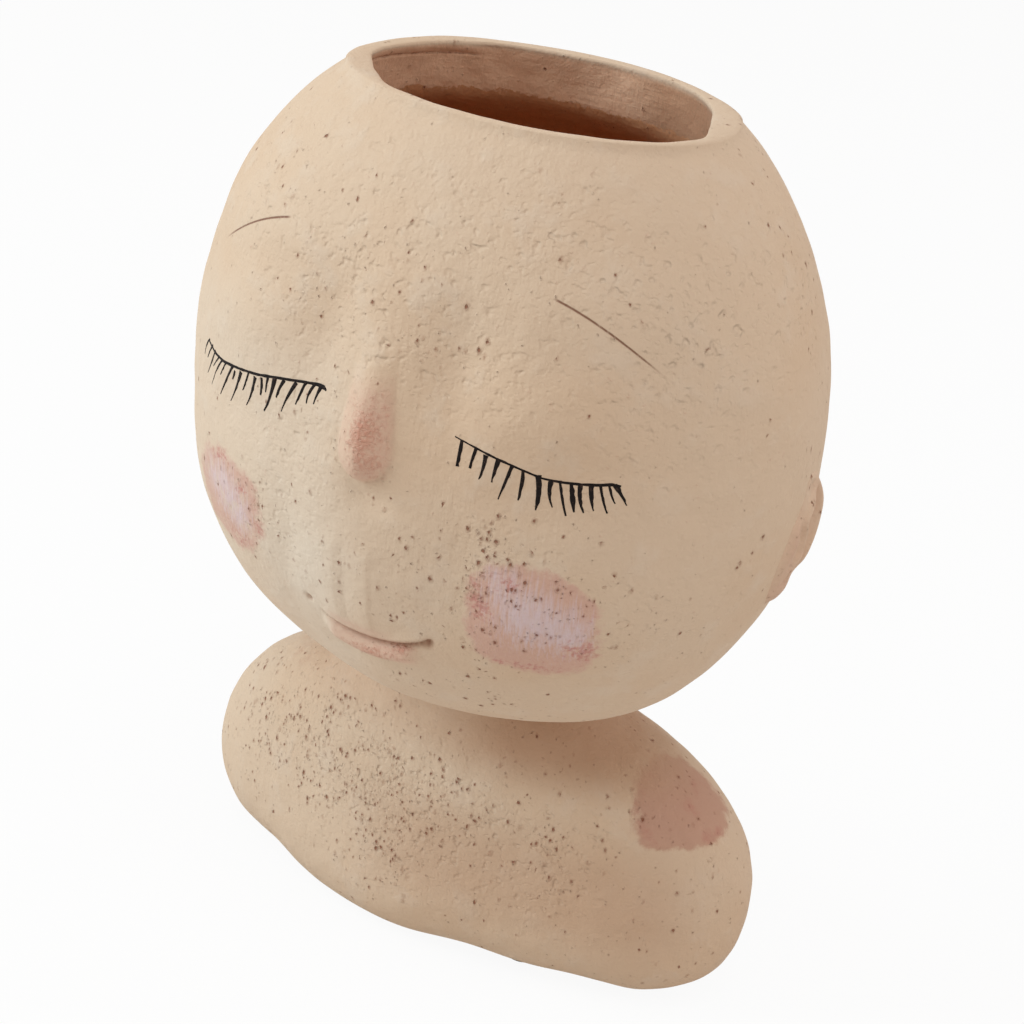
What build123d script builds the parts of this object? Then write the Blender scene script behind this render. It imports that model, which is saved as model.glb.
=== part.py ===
from build123d import *
import os
from math import cos, pi, sin

# A head planter: a doll's head with an open crown, bonded on a hollow bust.
# Millimetres. X runs from its right to its left, the face looks towards -Y, +Z is up.
# The origin is on the floor, under the middle of the whole planter.

# Driving dimensions of the head
head_half_width = 70.0
head_front_depth = 51.5
head_back_depth = 66.0
head_crown_height = 80.4
head_jaw_height = 68.4
head_rim_height = 67.6
head_forward = 17.1
head_wall = 5.6
rim_wall = 3.4
rim_round = 0.9
head_floor = 12.0
head_tip_cut = 1.0
# Roundness of the head's upright outlines: 2 is an ellipse, more is squarer
crown_side_power = 2.12
crown_front_power = 2.34
crown_back_power = 1.91
jaw_side_power = 2.37
jaw_front_power = 2.18
jaw_back_power = 2.06
crown_cut_shares = (0.2, 0.42, 0.63, 0.83, 1.0)
jaw_cut_shares = (0.22, 0.44, 0.64, 0.81, 0.93, 1.0)

# Driving dimensions of the bust
bust_height = 65.5
bust_half_width = 71.3
bust_front_depth = 31.6
bust_back_depth = 32.1
bust_wall = 6.0
bust_floor = 8.0
# Shares of the bust's height, half width, front depth, back depth and neck lean
bust_shares = (
    (0.0, 0.74, 0.736, 0.87, 0.0),
    (0.03, 0.87, 0.862, 0.886, 0.0),
    (0.13, 0.965, 0.958, 0.89, -0.03),
    (0.34, 1.0, 0.99, 0.905, -0.12),
    (0.5, 0.963, 0.975, 0.94, -0.21),
    (0.65, 0.865, 0.9, 0.94, -0.05),
    (0.78, 0.708, 0.805, 0.87, 0.22),
    (0.9, 0.49, 0.692, 0.73, 0.66),
    (1.0, 0.325, 0.591, 0.59, 1.0),
)

# Driving dimensions of the neck joint
neck_half_width = 22.0
neck_half_depth = 18.0
neck_lean = 8.0
neck_pocket_depth = 7.5
spigot_half_width = 17.0
spigot_half_depth = 13.0
spigot_height = 4.4
spigot_wall = 3.6
glue_gap = 0.15

# Driving dimensions of the face
nose_half_width = 5.7
nose_half_depth = 5.6
nose_half_length = 15.0
nose_drop = 2.5
nose_reach = 4.6
nose_tilt_degrees = 4.0
mouth_half_width = 14.6
mouth_corner_drop = 36.6
mouth_middle_drop = 39.4
mouth_crease_radius = 0.7
lip_half_width = 9.5
lip_corner_drop = 40.4
lip_middle_drop = 43.6
lip_radius = 3.4
lip_rise = 0.9
brow_inner_out = 29.4
brow_inner_rise = 41.0
brow_middle_out = 39.6
brow_middle_rise = 37.9
brow_outer_out = 48.6
brow_outer_rise = 30.5
brow_groove_radius = 0.5

# Driving dimensions of an ear
ear_half_length = 17.3
ear_half_depth = 9.5
ear_thickness = 6.8
ear_sunk_depth = 4.2
ear_drop = 9.8
ear_back = 5.0
ear_lean_degrees = 12.0
ear_top_shares = (1.0, 0.97, 0.82)
ear_step_shares = (0.0, 0.55, 1.0)
ear_bowl_half_length = 10.5
ear_bowl_half_depth = 5.2
ear_bowl_depth = 2.6

# Driving dimensions of the drain
drain_radius = 6.0
plug_running_gap = 0.05
plug_seat_gap = 0.2
flange_radius = 9.0
flange_thickness = 1.8
flange_recess_radius = 10.5
flange_recess_depth = 3.0
plug_tip_taper = 0.6
tab_length = 11.0
tab_width = 3.0
tab_height = 2.0
mesh_radius = 12.5
mesh_thickness = 0.9
mesh_hole_radius = 0.9
mesh_hole_pitch = 3.0
mesh_ring_count = 3
mesh_first_ring_count = 6

# Driving dimensions of the stick-on feet
foot_radius = 5.0
foot_height = 2.0
foot_edge_round = 0.5
foot_front_side_place = 24.0
foot_rear_side_place = 31.0
foot_front_place = 11.5
foot_rear_place = 17.0

# One overrun for every cut
overrun = 2.0
# Half a turn
half_turn_degrees = 180

# Places that follow from the sizes: the box from nose to nape is centred on the origin
head_centre_y = (head_front_depth + nose_reach - head_back_depth) / 2
bust_centre_y = head_centre_y + head_forward
neck_centre_y = bust_centre_y - neck_lean
bust_top_z = foot_height + bust_height
head_pole_z = bust_top_z - glue_gap
head_centre_z = head_pole_z + head_jaw_height
head_rim_z = head_centre_z + head_rim_height
neck_seat_z = head_pole_z + neck_pocket_depth
head_floor_z = head_pole_z + head_floor
bust_floor_z = foot_height + bust_floor
ear_centre_y = head_centre_y + ear_back
ear_centre_z = head_centre_z - ear_drop
ear_seat_x = head_half_width - ear_sunk_depth


def rounded(share, power):
    """Height of a rounded outline, as a share, at a share of its reach."""
    return (1 - min(share, 1) ** power) ** (1 / power)


def egg_face(half_width, front, back, centre_y, z):
    """A level section: half an ellipse to the front and half to the back."""
    front_arc = EllipticalCenterArc(
        (0, 0), half_width, front, start_angle=half_turn_degrees, arc_size=half_turn_degrees
    )
    back_arc = EllipticalCenterArc((0, 0), half_width, back, start_angle=0, arc_size=half_turn_degrees)
    return Pos(0, centre_y, z) * make_face(front_arc + back_arc)


def oval_post(half_width, half_depth, centre_y, low_z, high_z):
    """An upright oval prism between two heights."""
    outline = Pos(0, centre_y, low_z) * Ellipse(half_width, half_depth)
    return extrude(outline, amount=high_z - low_z, dir=(0, 0, 1))


def head_sizes(height):
    """Half width, front depth and back depth of the head above its widest section."""
    if height >= 0:
        share = height / head_crown_height
        powers = (crown_side_power, crown_front_power, crown_back_power)
    else:
        share = -height / head_jaw_height
        powers = (jaw_side_power, jaw_front_power, jaw_back_power)
    sizes = (head_half_width, head_front_depth, head_back_depth)
    return [size * rounded(share, power) for size, power in zip(sizes, powers)]


def head_face_y(x, height):
    """Place of the face's surface at a sideways place and a height."""
    half_width, front, _ = head_sizes(height)
    return head_centre_y - front * (1 - (x / half_width) ** 2) ** 0.5


def head_point(x, height):
    """A point on the face's surface."""
    return Vector(x, head_face_y(x, height), head_centre_z + height)


def head_body():
    """The head's outer shape, level at the rim."""
    jaw_reach = head_jaw_height - head_tip_cut
    heights = [-jaw_reach * share for share in reversed(jaw_cut_shares)]
    heights += [0]
    heights += [head_rim_height * share for share in crown_cut_shares]
    faces = [egg_face(*head_sizes(h), head_centre_y, head_centre_z + h) for h in heights]
    return loft(faces)


def head_hollow():
    """The space inside the head, run out above the rim."""
    faces = []
    lower_reach = head_jaw_height - head_floor
    lower_sizes = [size - head_wall for size in (head_half_width, head_front_depth, head_back_depth)]
    lower_powers = (jaw_side_power, jaw_front_power, jaw_back_power)
    for share in reversed(jaw_cut_shares):
        height = -(lower_reach - head_tip_cut) * share
        reach = -height / lower_reach
        sizes = [size * rounded(reach, power) for size, power in zip(lower_sizes, lower_powers)]
        faces.append(egg_face(*sizes, head_centre_y, head_centre_z + height))
    faces.append(egg_face(*lower_sizes, head_centre_y, head_centre_z))
    for share in crown_cut_shares:
        height = head_rim_height * share
        wall = head_wall + (rim_wall - head_wall) * share
        sizes = [size - wall for size in head_sizes(height)]
        faces.append(egg_face(*sizes, head_centre_y, head_centre_z + height))
    mouth = extrude(faces[-1], amount=overrun, dir=(0, 0, 1))
    return loft(faces) + mouth


def pipe(points, radius):
    """A round bar along the arc through three points."""
    path = ThreePointArc(*points)
    return sweep(Plane(origin=path @ 0, z_dir=path % 0) * Circle(radius), path=path)


def mirrored_points(corner_out, corner_height, middle_height):
    """Three surface points of a line that crosses the middle of the face."""
    left = head_point(corner_out, corner_height)
    right = head_point(-corner_out, corner_height)
    return right, head_point(0, middle_height), left


def nose():
    """A long rounded nose, its tip further out than its bridge."""
    shares = (1, nose_half_depth / nose_half_width, nose_half_length / nose_half_width)
    body = Rot(-nose_tilt_degrees, 0, 0) * scale(Sphere(nose_half_width), shares)
    front_y = head_centre_y - head_front_depth - nose_reach
    middle_y = front_y - body.bounding_box().min.Y
    return Pos(0, middle_y, head_centre_z - nose_drop + nose_half_length) * body


def lower_lip():
    """A full lower lip that stands a little out of the face."""
    sink = Vector(0, lip_radius - lip_rise, 0)
    points = [p + sink for p in mirrored_points(lip_half_width, -lip_corner_drop, -lip_middle_drop)]
    path = ThreePointArc(*points)
    bar = sweep(Plane(origin=path @ 0, z_dir=path % 0) * Circle(lip_radius), path=path)
    return bar + Pos(*points[0]) * Sphere(lip_radius) + Pos(*points[2]) * Sphere(lip_radius)


def brow_groove(side):
    """A brow scratched into the surface."""
    places = (
        (brow_inner_out, brow_inner_rise),
        (brow_middle_out, brow_middle_rise),
        (brow_outer_out, brow_outer_rise),
    )
    return pipe([head_point(side * out, rise) for out, rise in places], brow_groove_radius)


def ear_outline(x, half_depth, half_length):
    """An ear's oval in an upright plane that faces sideways, its top leaning back."""
    plane = Plane(origin=(x, ear_centre_y, ear_centre_z), x_dir=(0, 1, 0), z_dir=(1, 0, 0))
    return plane * Rot(0, 0, -ear_lean_degrees) * Ellipse(half_depth, half_length)


def ear():
    """The left ear: an oval pad with a hollow bowl, on a flat back."""
    faces = []
    for step, size in zip(ear_step_shares, ear_top_shares):
        x = ear_seat_x + ear_thickness * step
        faces.append(ear_outline(x, ear_half_depth * size, ear_half_length * size))
    body = loft(faces)
    bowl_x = ear_seat_x + ear_thickness - ear_bowl_depth
    bowl = extrude(
        ear_outline(bowl_x, ear_bowl_half_depth, ear_bowl_half_length),
        amount=ear_bowl_depth + overrun,
        dir=(1, 0, 0),
    )
    return body - bowl


def ear_pocket():
    """The seat that the left ear is bonded into."""
    outline = ear_outline(ear_seat_x, ear_half_depth + glue_gap, ear_half_length + glue_gap)
    return extrude(outline, amount=ear_thickness + overrun, dir=(1, 0, 0))


def head_shell():
    """The head: open at the crown, with a socket for the neck below."""
    rim_edges = (head_body() - head_hollow()).faces().sort_by(Axis.Z)[-1].edges()
    shell = fillet(rim_edges, rim_round)
    face = nose() + lower_lip()
    shell = shell + (face - head_hollow())
    shell -= oval_post(
        neck_half_width + glue_gap,
        neck_half_depth + glue_gap,
        neck_centre_y,
        head_pole_z - overrun,
        neck_seat_z,
    )
    shell -= oval_post(
        spigot_half_width + glue_gap,
        spigot_half_depth + glue_gap,
        neck_centre_y,
        neck_seat_z - overrun,
        head_floor_z + head_floor,
    )
    shell -= pipe(
        mirrored_points(mouth_half_width, -mouth_corner_drop, -mouth_middle_drop),
        mouth_crease_radius,
    )
    for side in (-1, 1):
        shell -= brow_groove(side)
    shell -= ear_pocket()
    shell -= mirror(ear_pocket(), about=Plane.YZ)
    return shell


def bust_section(row, inset):
    """One level section of the bust, drawn in by a wall."""
    height, width, front, back, lean = row
    return egg_face(
        bust_half_width * width - inset,
        bust_front_depth * front - inset,
        bust_back_depth * back - inset,
        bust_centre_y - neck_lean * lean,
        foot_height + bust_height * height,
    )


def bust_body():
    """The bust's outer shape, from its flat underside up to the neck."""
    return loft([bust_section(row, 0) for row in bust_shares])


def bust_hollow():
    """The space inside the bust, from its floor up to the neck."""
    floor_share = bust_floor / bust_height
    below = [row for row in bust_shares if row[0] <= floor_share][-1]
    above = [row for row in bust_shares if row[0] > floor_share]
    step = (floor_share - below[0]) / (above[0][0] - below[0])
    floor_row = [low + (high - low) * step for low, high in zip(below, above[0])]
    return loft([bust_section(row, bust_wall) for row in [floor_row] + above])


def bust_shell():
    """The hollow bust with its neck, the spigot for the head and the drain."""
    body = bust_body()
    body += oval_post(
        neck_half_width, neck_half_depth, neck_centre_y, bust_top_z - overrun, neck_seat_z
    )
    body += oval_post(
        spigot_half_width,
        spigot_half_depth,
        neck_centre_y,
        neck_seat_z - overrun,
        neck_seat_z + spigot_height,
    )
    body -= bust_hollow()
    body -= oval_post(
        spigot_half_width - spigot_wall,
        spigot_half_depth - spigot_wall,
        neck_centre_y,
        bust_top_z - bust_wall,
        neck_seat_z + spigot_height + overrun,
    )
    body -= Pos(0, bust_centre_y, foot_height - overrun) * Cylinder(
        drain_radius,
        bust_floor + overrun + overrun,
        align=(Align.CENTER, Align.CENTER, Align.MIN),
    )
    body -= Pos(0, bust_centre_y, foot_height - overrun) * Cylinder(
        flange_recess_radius,
        flange_recess_depth + overrun,
        align=(Align.CENTER, Align.CENTER, Align.MIN),
    )
    return body


def on_floor(radius, height):
    """A round post that starts at the plane it is placed on."""
    return Cylinder(radius, height, align=(Align.CENTER, Align.CENTER, Align.MIN))


def drain_plug():
    """The stopper: a stem in the drain, a flange in the recess and a tab to pull."""
    flange_top_z = foot_height + flange_recess_depth - plug_seat_gap
    flange_low_z = flange_top_z - flange_thickness
    stem_top_z = bust_floor_z - plug_seat_gap
    stem_length = stem_top_z - flange_top_z
    stem = Pos(0, bust_centre_y, flange_top_z) * on_floor(drain_radius - plug_running_gap, stem_length)
    stem = chamfer(stem.edges().sort_by(Axis.Z)[-1], plug_tip_taper)
    flange = Pos(0, bust_centre_y, flange_low_z) * on_floor(flange_radius, flange_thickness)
    tab = Pos(0, bust_centre_y, flange_low_z) * Box(
        tab_length, tab_width, tab_height, align=(Align.CENTER, Align.CENTER, Align.MAX)
    )
    return flange + stem + tab


def drain_mesh():
    """The net disc that keeps soil out of the drain."""
    disc = Pos(0, bust_centre_y, bust_floor_z) * on_floor(mesh_radius, mesh_thickness)
    hole_length = mesh_thickness + overrun + overrun
    hole = Pos(0, bust_centre_y, bust_floor_z - overrun) * on_floor(mesh_hole_radius, hole_length)
    holes = [hole]
    for ring in range(1, mesh_ring_count + 1):
        count = mesh_first_ring_count * ring
        for step in range(count):
            turn = 2 * pi * step / count
            reach = mesh_hole_pitch * ring
            holes.append(Pos(reach * cos(turn), reach * sin(turn), 0) * hole)
    return disc - holes


def foot(side_place, place):
    """A stick-on pad under the bust, its place counted sideways and back from the bust's middle."""
    pad = Pos(side_place, bust_centre_y + place, 0) * on_floor(foot_radius, foot_height)
    return chamfer(pad.edges().sort_by(Axis.Z)[0], foot_edge_round)


def write(name, shape):
    """Writes one sub-part."""
    shape.label = name
    export_step(shape, "parts/" + name + ".step")


os.makedirs("parts", exist_ok=True)
write("head_shell", head_shell())
write("bust_shell", bust_shell())
write("ear_left", ear())
write("ear_right", mirror(ear(), about=Plane.YZ))
write("drain_plug", drain_plug())
write("drain_mesh", drain_mesh())
for side_name, side in (("left", 1), ("right", -1)):
    write("foot_front_" + side_name, foot(side * foot_front_side_place, -foot_front_place))
    write("foot_rear_" + side_name, foot(side * foot_rear_side_place, foot_rear_place))
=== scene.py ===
# %% [markdown]
# # A head planter, built as a lesson
# This planter is a doll's head of fired clay with an open crown, set on a hollow bust.
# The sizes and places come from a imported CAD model, so the first step loads it as a fixed
# frame. Everything made later is fitted to the boxes that the frame gives, in metres.

# %% Load the CAD model
import math

import bpy
import numpy as np
from mathutils import Matrix, Vector, noise


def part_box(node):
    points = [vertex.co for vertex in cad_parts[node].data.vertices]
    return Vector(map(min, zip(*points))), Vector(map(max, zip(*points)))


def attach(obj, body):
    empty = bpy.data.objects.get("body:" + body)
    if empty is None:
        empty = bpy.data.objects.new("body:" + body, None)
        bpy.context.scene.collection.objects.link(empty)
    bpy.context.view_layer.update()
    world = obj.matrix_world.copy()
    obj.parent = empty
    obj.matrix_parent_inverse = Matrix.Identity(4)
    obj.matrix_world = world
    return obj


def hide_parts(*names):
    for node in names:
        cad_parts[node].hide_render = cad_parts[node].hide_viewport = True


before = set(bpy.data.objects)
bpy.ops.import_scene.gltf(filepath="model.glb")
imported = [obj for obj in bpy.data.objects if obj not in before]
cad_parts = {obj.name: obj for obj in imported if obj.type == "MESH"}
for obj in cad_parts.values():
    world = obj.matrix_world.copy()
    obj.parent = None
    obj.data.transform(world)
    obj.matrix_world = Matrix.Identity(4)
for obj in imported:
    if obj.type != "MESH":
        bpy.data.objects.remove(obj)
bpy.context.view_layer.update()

# %% [markdown]
# ## Sizes of the head
# The head is egg-shaped: seen from above it is an oval that is deeper at the back than at the
# face, and seen from the front or side its outline is a bit squarer than an ellipse. One
# power for each outline says how square. Most sizes are read from the CAD box, the rest are
# the maker's numbers in millimetres, which are easier to read than metres.

# %% Sizes of the head in millimetres
mm = 0.001
head_low, head_high = [np.array(corner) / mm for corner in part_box("head_shell")]
head_half_width, head_front_depth, head_back_depth = head_high[0], 51.5, 66.0
head_sizes = (head_half_width, head_front_depth, head_back_depth)
crown_powers, jaw_powers = (2.12, 2.34, 1.91), (2.37, 2.18, 2.06)
head_rim_z = head_high[2]
head_rim_height = 67.6
head_crown_height = 80.4
head_jaw_height = 68.4
head_centre_y = head_high[1] - head_back_depth
head_centre_z = head_rim_z - head_rim_height
head_wall, head_rim_wall = 5.6, 3.4
head_floor_drop = 56.4
head_floor_z = head_centre_z - head_floor_drop
neck_centre_y = head_centre_y + 9.1
neck_pocket = (22.15, 18.15)
neck_passage = (13.4, 9.4)
spigot_outline = (17.15, 13.15)
neck_seat_z = 74.85
print("head box in mm:", head_low.round(2), head_high.round(2))


# %% The egg's outline at any height
def rounded(share, power):
    """How far an outline reaches at a share of its height, as a share."""
    return (1 - np.clip(share, 0, 1) ** power) ** (1 / power)


def head_reach(height):
    """Half width, front depth and back depth at a height over the widest level."""
    height = np.asarray(height, dtype=float)
    up, down = height / head_crown_height, -height / head_jaw_height
    return [
        size * np.where(height >= 0, rounded(up, crown), rounded(down, jaw))
        for size, crown, jaw in zip(head_sizes, crown_powers, jaw_powers)
    ]


def face_point(x, height):
    """A point on the plain egg's front, from its sideways place and its height."""
    width, front, _ = head_reach(height)
    y = head_centre_y - front * np.sqrt(np.clip(1 - (x / width) ** 2, 0, 1))
    return np.array([x, y, head_centre_z + height])


print("front of the egg at the widest level, mm:", face_point(0, 0).round(2))

# %% [markdown]
# ## Where the mesh needs fine rows
# A sculpted face needs small faces at the nose, mouth and eyes, and a plain nape doesn't. The
# head is woven like a basket: every level ring has the same number of points, and rings and
# columns crowd together where the carving is. The crowding is a density curve, summed up and
# read backwards, so that equal steps of the sum give the places.


# %% Uneven steps from a density curve
def crowd(low, high, count, density):
    """Places from low to high, closer together where the density is high."""
    fine = np.linspace(low, high, 4001)
    weight = density(fine)
    total = np.concatenate([[0], np.cumsum((weight[1:] + weight[:-1]) / 2)])
    return np.interp(np.linspace(0, total[-1], count), total, fine)


def bump(value, middle, reach):
    """A soft hill: 1 at its middle, nearly 0 at twice its reach."""
    return np.exp(-(((value - middle) / reach) ** 2))


def ease(value, low, high):
    """A smooth step from 0 at low to 1 at high."""
    share = np.clip((value - low) / (high - low), 0, 1)
    return share * share * (3 - 2 * share)


head_columns = 324
half_turn = crowd(
    0, math.pi, head_columns // 2 + 1,
    lambda a: 1 + 2.6 * bump(a, 0, 0.2) + 1.25 * (1 - ease(a, 0.85, 1.25)),
)
head_turns = np.concatenate([half_turn, -half_turn[-2:0:-1]])
head_heights = crowd(
    -56, head_rim_height - 1.2, 190,
    lambda h: (
        1 + 1.1 * (ease(h, -50, -46) - ease(h, 44, 50))
        + 1.6 * bump(h, -41, 5) + 0.8 * bump(h, 2, 7)
    ),
)[::-1]
print("columns:", len(head_turns), "level rings:", len(head_heights))

# %% [markdown]
# ## The face
# The face is modelled like clay pushed on and pressed in: a long nose, eyelids, cheeks, a
# ridge down to the mouth, a pressed mouth line and a full lower lip. It could be sculpted by
# hand, but written as a sum of soft hills and hollows over the egg it stays editable, and
# every form has its own few numbers. Places are millimetres sideways and over the widest level.


# %% The nose
def nose_shares(x, h):
    """How far a point lies from the nose's ridge and below its end, both 1 at the edge."""
    nose_x, nose_end, half_width = -1.6, 4.2, 4.5 + 1.8 * ease(h, 25, 2)
    return np.abs(x - nose_x) / half_width, np.maximum(nose_end - h, 0) / 6.9


def nose_form(x, h):
    """A wedge of a nose: two plain sides meet on a soft ridge, and the lower end is round."""
    out, below = nose_shares(x, h)
    end = np.sqrt(np.clip(1 - below**2 / np.maximum(1 - out**2, 0.001), 0, 1))
    side = np.clip(1 - (out**2 + 0.015) ** 0.62, 0, 1) ** 0.8
    slope = ease(h, 32, 3) ** 1.25
    skirt = 0.45 * bump(x, 0, 9) * ease(h, 42, 8) * ease(h, -6, 4)
    return 4.25 * side * slope * end + skirt


print("the nose's tip stands out by", round(float(nose_form(-1.6, 3.2)), 2), "mm")


# %% Brow, eyelids, cheeks and the ridge over the mouth
def soft_forms(x, h):
    """The broad forms of the face."""
    out = np.abs(x)
    socket = -2.0 * bump(out, 14.5, 7.5) * bump(h, 24, 14)
    lid = 1.7 * bump(out, 35, 12) * bump(h, 19, 9)
    under_lid = -0.5 * bump(out, 33, 14) * bump(h, 0, 5)
    brow = 0.8 * bump(out, 36, 17) * bump(h, 38, 8)
    cheek = 1.2 * bump(out, 36, 16) * bump(h, -24, 14)
    muzzle = 1.3 * bump(x, -1, 15) * bump(h, -29, 13)
    smile = -0.8 * bump(out, 20.5, 5) * bump(h, -22, 13)
    ridge_places = (-14, -11, -6.8, -4.2, -0.5, 1.5, 2.4, 6.5, 14, 20)
    ridges = np.interp(x, ridge_places, (0, 0.05, 0.45, 0.1, 0.45, 0.6, 0.3, 0, -0.4, 0))
    span = ease(h, -11, -26) * ease(h, -38.4, -34.5)
    under_nose = -0.55 * bump(x, 0.5, 5.5) * bump(h, -6, 2.8)
    chin = 1.0 * bump(x, 0, 14) * bump(h, -55, 7)
    round_forms = socket + lid + under_lid + brow + cheek + muzzle + smile
    return round_forms + span * ridges + under_nose + chin


print("an eye socket is pressed in by", round(-float(soft_forms(14.5, 24.0)), 2), "mm")


# %% Mouth line and lips
mouth_half_width, mouth_height, mouth_smile, mouth_slant = 15.0, -38.9, 3.0, 0.08


def mouth_line(x):
    """Height of the mouth line, a smile that lifts more on one side."""
    return mouth_height + mouth_smile * (x / mouth_half_width) ** 2 + mouth_slant * x


def mouth_form(x, h):
    """An upper lip like a ledge, a pressed line under it and a full lower lip."""
    over = h - mouth_line(x)
    inside = ease(x, mouth_half_width + 0.4, mouth_half_width - 3.0) * ease(x, -13.0, -9.0)
    ledge = 0.8 * ease(over, -0.4, 0.15) * np.exp(-np.maximum(over, 0) / 2.2) * inside
    line = -1.45 * bump(over, -0.6, 0.6) * inside
    full = ease(np.abs(x), 13.0, 8.0)
    lower = 1.75 * bump(over, -3.7, 2.2) * full
    under = -0.75 * bump(over, -8.4, 2.3) * ease(np.abs(x), 14, 5)
    corner = -1.0 * bump(x, mouth_half_width - 1.0, 1.0) * bump(over, -0.9, 1.1)
    dimple = -1.2 * bump(x, -15.2, 0.8) * bump(h, -36.7, 0.8)
    return ledge + line + lower + under + corner + dimple


def face_form(x, h):
    """All of the face's forms, in millimetres out of the egg."""
    return nose_form(x, h) + soft_forms(x, h) + mouth_form(x, h)


print("the lower lip stands out by", round(float(mouth_form(1.0, -42.5)), 2), "mm")

# %% [markdown]
# ## The rim
# The crown is cut open with a knife and smoothed by a finger, so the rim isn't even. At the
# back on one side the clay is folded inwards into a thick roll with a crease under it, at the
# back on the other side it is thin, and the front edge is sharp. A few soft windows round the
# rim say where each happens.


# %% How the rim changes round the crown
collar_share, collar_depth, collar_end = 0.66, 11.5, 24


def rim_roll(turn):
    """1 where the clay is folded in: at the back, from one side to just past the middle."""
    degrees = np.degrees(turn) % 360
    return ease(degrees, 222, 232) * ease(degrees, 290, 274)


def rim_wall_share(turn):
    """The rim's thickness against its plain thickness."""
    degrees = np.degrees(turn) % 360
    from_front = np.abs((degrees - 25 + 180) % 360 - 180)
    thick_sides = 0.72 * bump(degrees, 108, 22) + 0.45 * bump(degrees, 297, 15)
    return 1 + thick_sides - 0.5 * bump(degrees, 162, 24) - 0.72 * ease(from_front, 72, 50)


def collar(height):
    """How much thicker the wall is close under the rim, where the inside falls more steeply."""
    spread = head_reach(height)[0] - head_reach(head_rim_height)[0]
    return collar_share * spread * (1 - ease(head_rim_height - height, collar_depth, collar_end))


print("rim thickness shares:", rim_wall_share(np.radians([0, 90, 110, 160, 230])).round(2))


# %% Hand-made unevenness
def lumps(grid, size, seed):
    """Smooth noise from about -1 to 1 for each point of a grid in millimetres."""
    shift = Vector((seed * 7.3, seed * 3.1, seed * 5.7))
    values = np.array([noise.noise(Vector(p) / size + shift) for p in grid.reshape(-1, 3)])
    return values.reshape(grid.shape[:2]) * 1.6


print("lumps at three places:", lumps(np.eye(3)[:, None] * 30.0, 26, 1).ravel().round(2))


# %% [markdown]
# ## The head as one closed skin
# The head is hollow with a real wall, so its skin goes down the outside, under the jaw to the
# neck's socket, back up inside and over the rim. Each stage is a list of rings, and the last
# ring joins the first, like a tube bent into a ring. This closes the mesh with no poles, and
# one formula can push every point out along the surface's own direction.


# %% Rings of the head
def oval_ring(half_width, half_depth, centre_y, z, turns=head_turns):
    """A level oval with one point for each column. The depth may change with the column."""
    x = half_width * np.sin(turns)
    return np.stack([x, centre_y - half_depth * np.cos(turns), np.full_like(x, z)], axis=1)


def head_ring(width, front, back, height):
    """A level ring of the head from its half width and its two depths."""
    depth = np.where(np.cos(head_turns) >= 0, front, back)
    return oval_ring(width, depth, head_centre_y, head_centre_z + height)


def egg_ring(height):
    """A level ring of the plain egg."""
    return head_ring(*head_reach(height), height)


def drop_to_egg(ring):
    """Moves a ring's points up or down onto the egg's underside."""
    low, high = np.full(len(ring), -head_jaw_height), np.full(len(ring), -40.0)
    side = ring[:, 1] - head_centre_y
    for _ in range(40):
        middle = (low + high) / 2
        width, front, back = head_reach(middle)
        depth = np.where(side < 0, front, back)
        outside = (ring[:, 0] / width) ** 2 + (side / depth) ** 2 > 1
        low, high = np.where(outside, middle, low), np.where(outside, high, middle)
    ring = ring.copy()
    ring[:, 2] = head_centre_z + (low + high) / 2
    return ring


# %% The outside, from the rim down to the neck's socket
outside_rings = [egg_ring(h) for h in head_heights]
jaw_ring = egg_ring(head_heights[-1])
pocket_edge = oval_ring(*neck_pocket, neck_centre_y, 0)
for share in np.linspace(0, 1, 18)[1:]:
    ring = jaw_ring + (pocket_edge - jaw_ring) * share
    outside_rings.append(drop_to_egg(ring))
print("outside rings:", len(outside_rings))

# %% The socket, the floor and the passage for water
socket_rings = []
edge = outside_rings[-1]
seat = oval_ring(*neck_pocket, neck_centre_y, neck_seat_z)
for share in (0.25, 0.6, 0.92):
    socket_rings.append(edge + (seat - edge) * share)
for outline, z in (
    ((21.8, 17.8), neck_seat_z), ((17.4, 13.4), neck_seat_z),
    (spigot_outline, 75.3), (spigot_outline, 77.2), (spigot_outline, 78.9),
    ((17.5, 13.5), head_floor_z),
):
    socket_rings.append(oval_ring(*outline, neck_centre_y, z))
print("socket rings:", len(socket_rings))

# %% The inside, from the floor up to the rim
inside_count = 76
inside_rings = []
inside_heights = crowd(
    -55.6, head_rim_height - 0.9, inside_count, lambda h: 1 + 6 * ease(h, 59, 64))
for height in inside_heights:
    if height < 0:
        reach = [
            rounded(-height / head_floor_drop, jaw) * (size - head_wall)
            for size, jaw in zip(head_sizes, jaw_powers)
        ]
        ring = head_ring(*reach, height)
    else:
        under = head_rim_height - height
        wall = head_wall + (head_rim_wall - head_wall) * height / head_rim_height
        wall = wall + float(collar(height))
        wall = wall + head_rim_wall * (rim_wall_share(head_turns) - 1) * math.exp(-under / 5.0)
        ring = egg_ring(height)
        flat = ring[:, :2] - [0, head_centre_y]
        inward = flat / np.linalg.norm(flat, axis=1)[:, None]
        fold = 0.5 * bump(under, 1.6, 1.3) - 0.35 * bump(under, 3.1, 0.3)
        ring[:, :2] -= inward * (wall + fold * rim_roll(head_turns))[:, None]
    inside_rings.append(ring)
first = inside_rings[0]
last_floor = socket_rings[-1]
floor_rings = [last_floor + (first - last_floor) * share for share in (0.3, 0.65)]
inside_rings = floor_rings + inside_rings
print("inside rings:", len(inside_rings))

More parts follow.
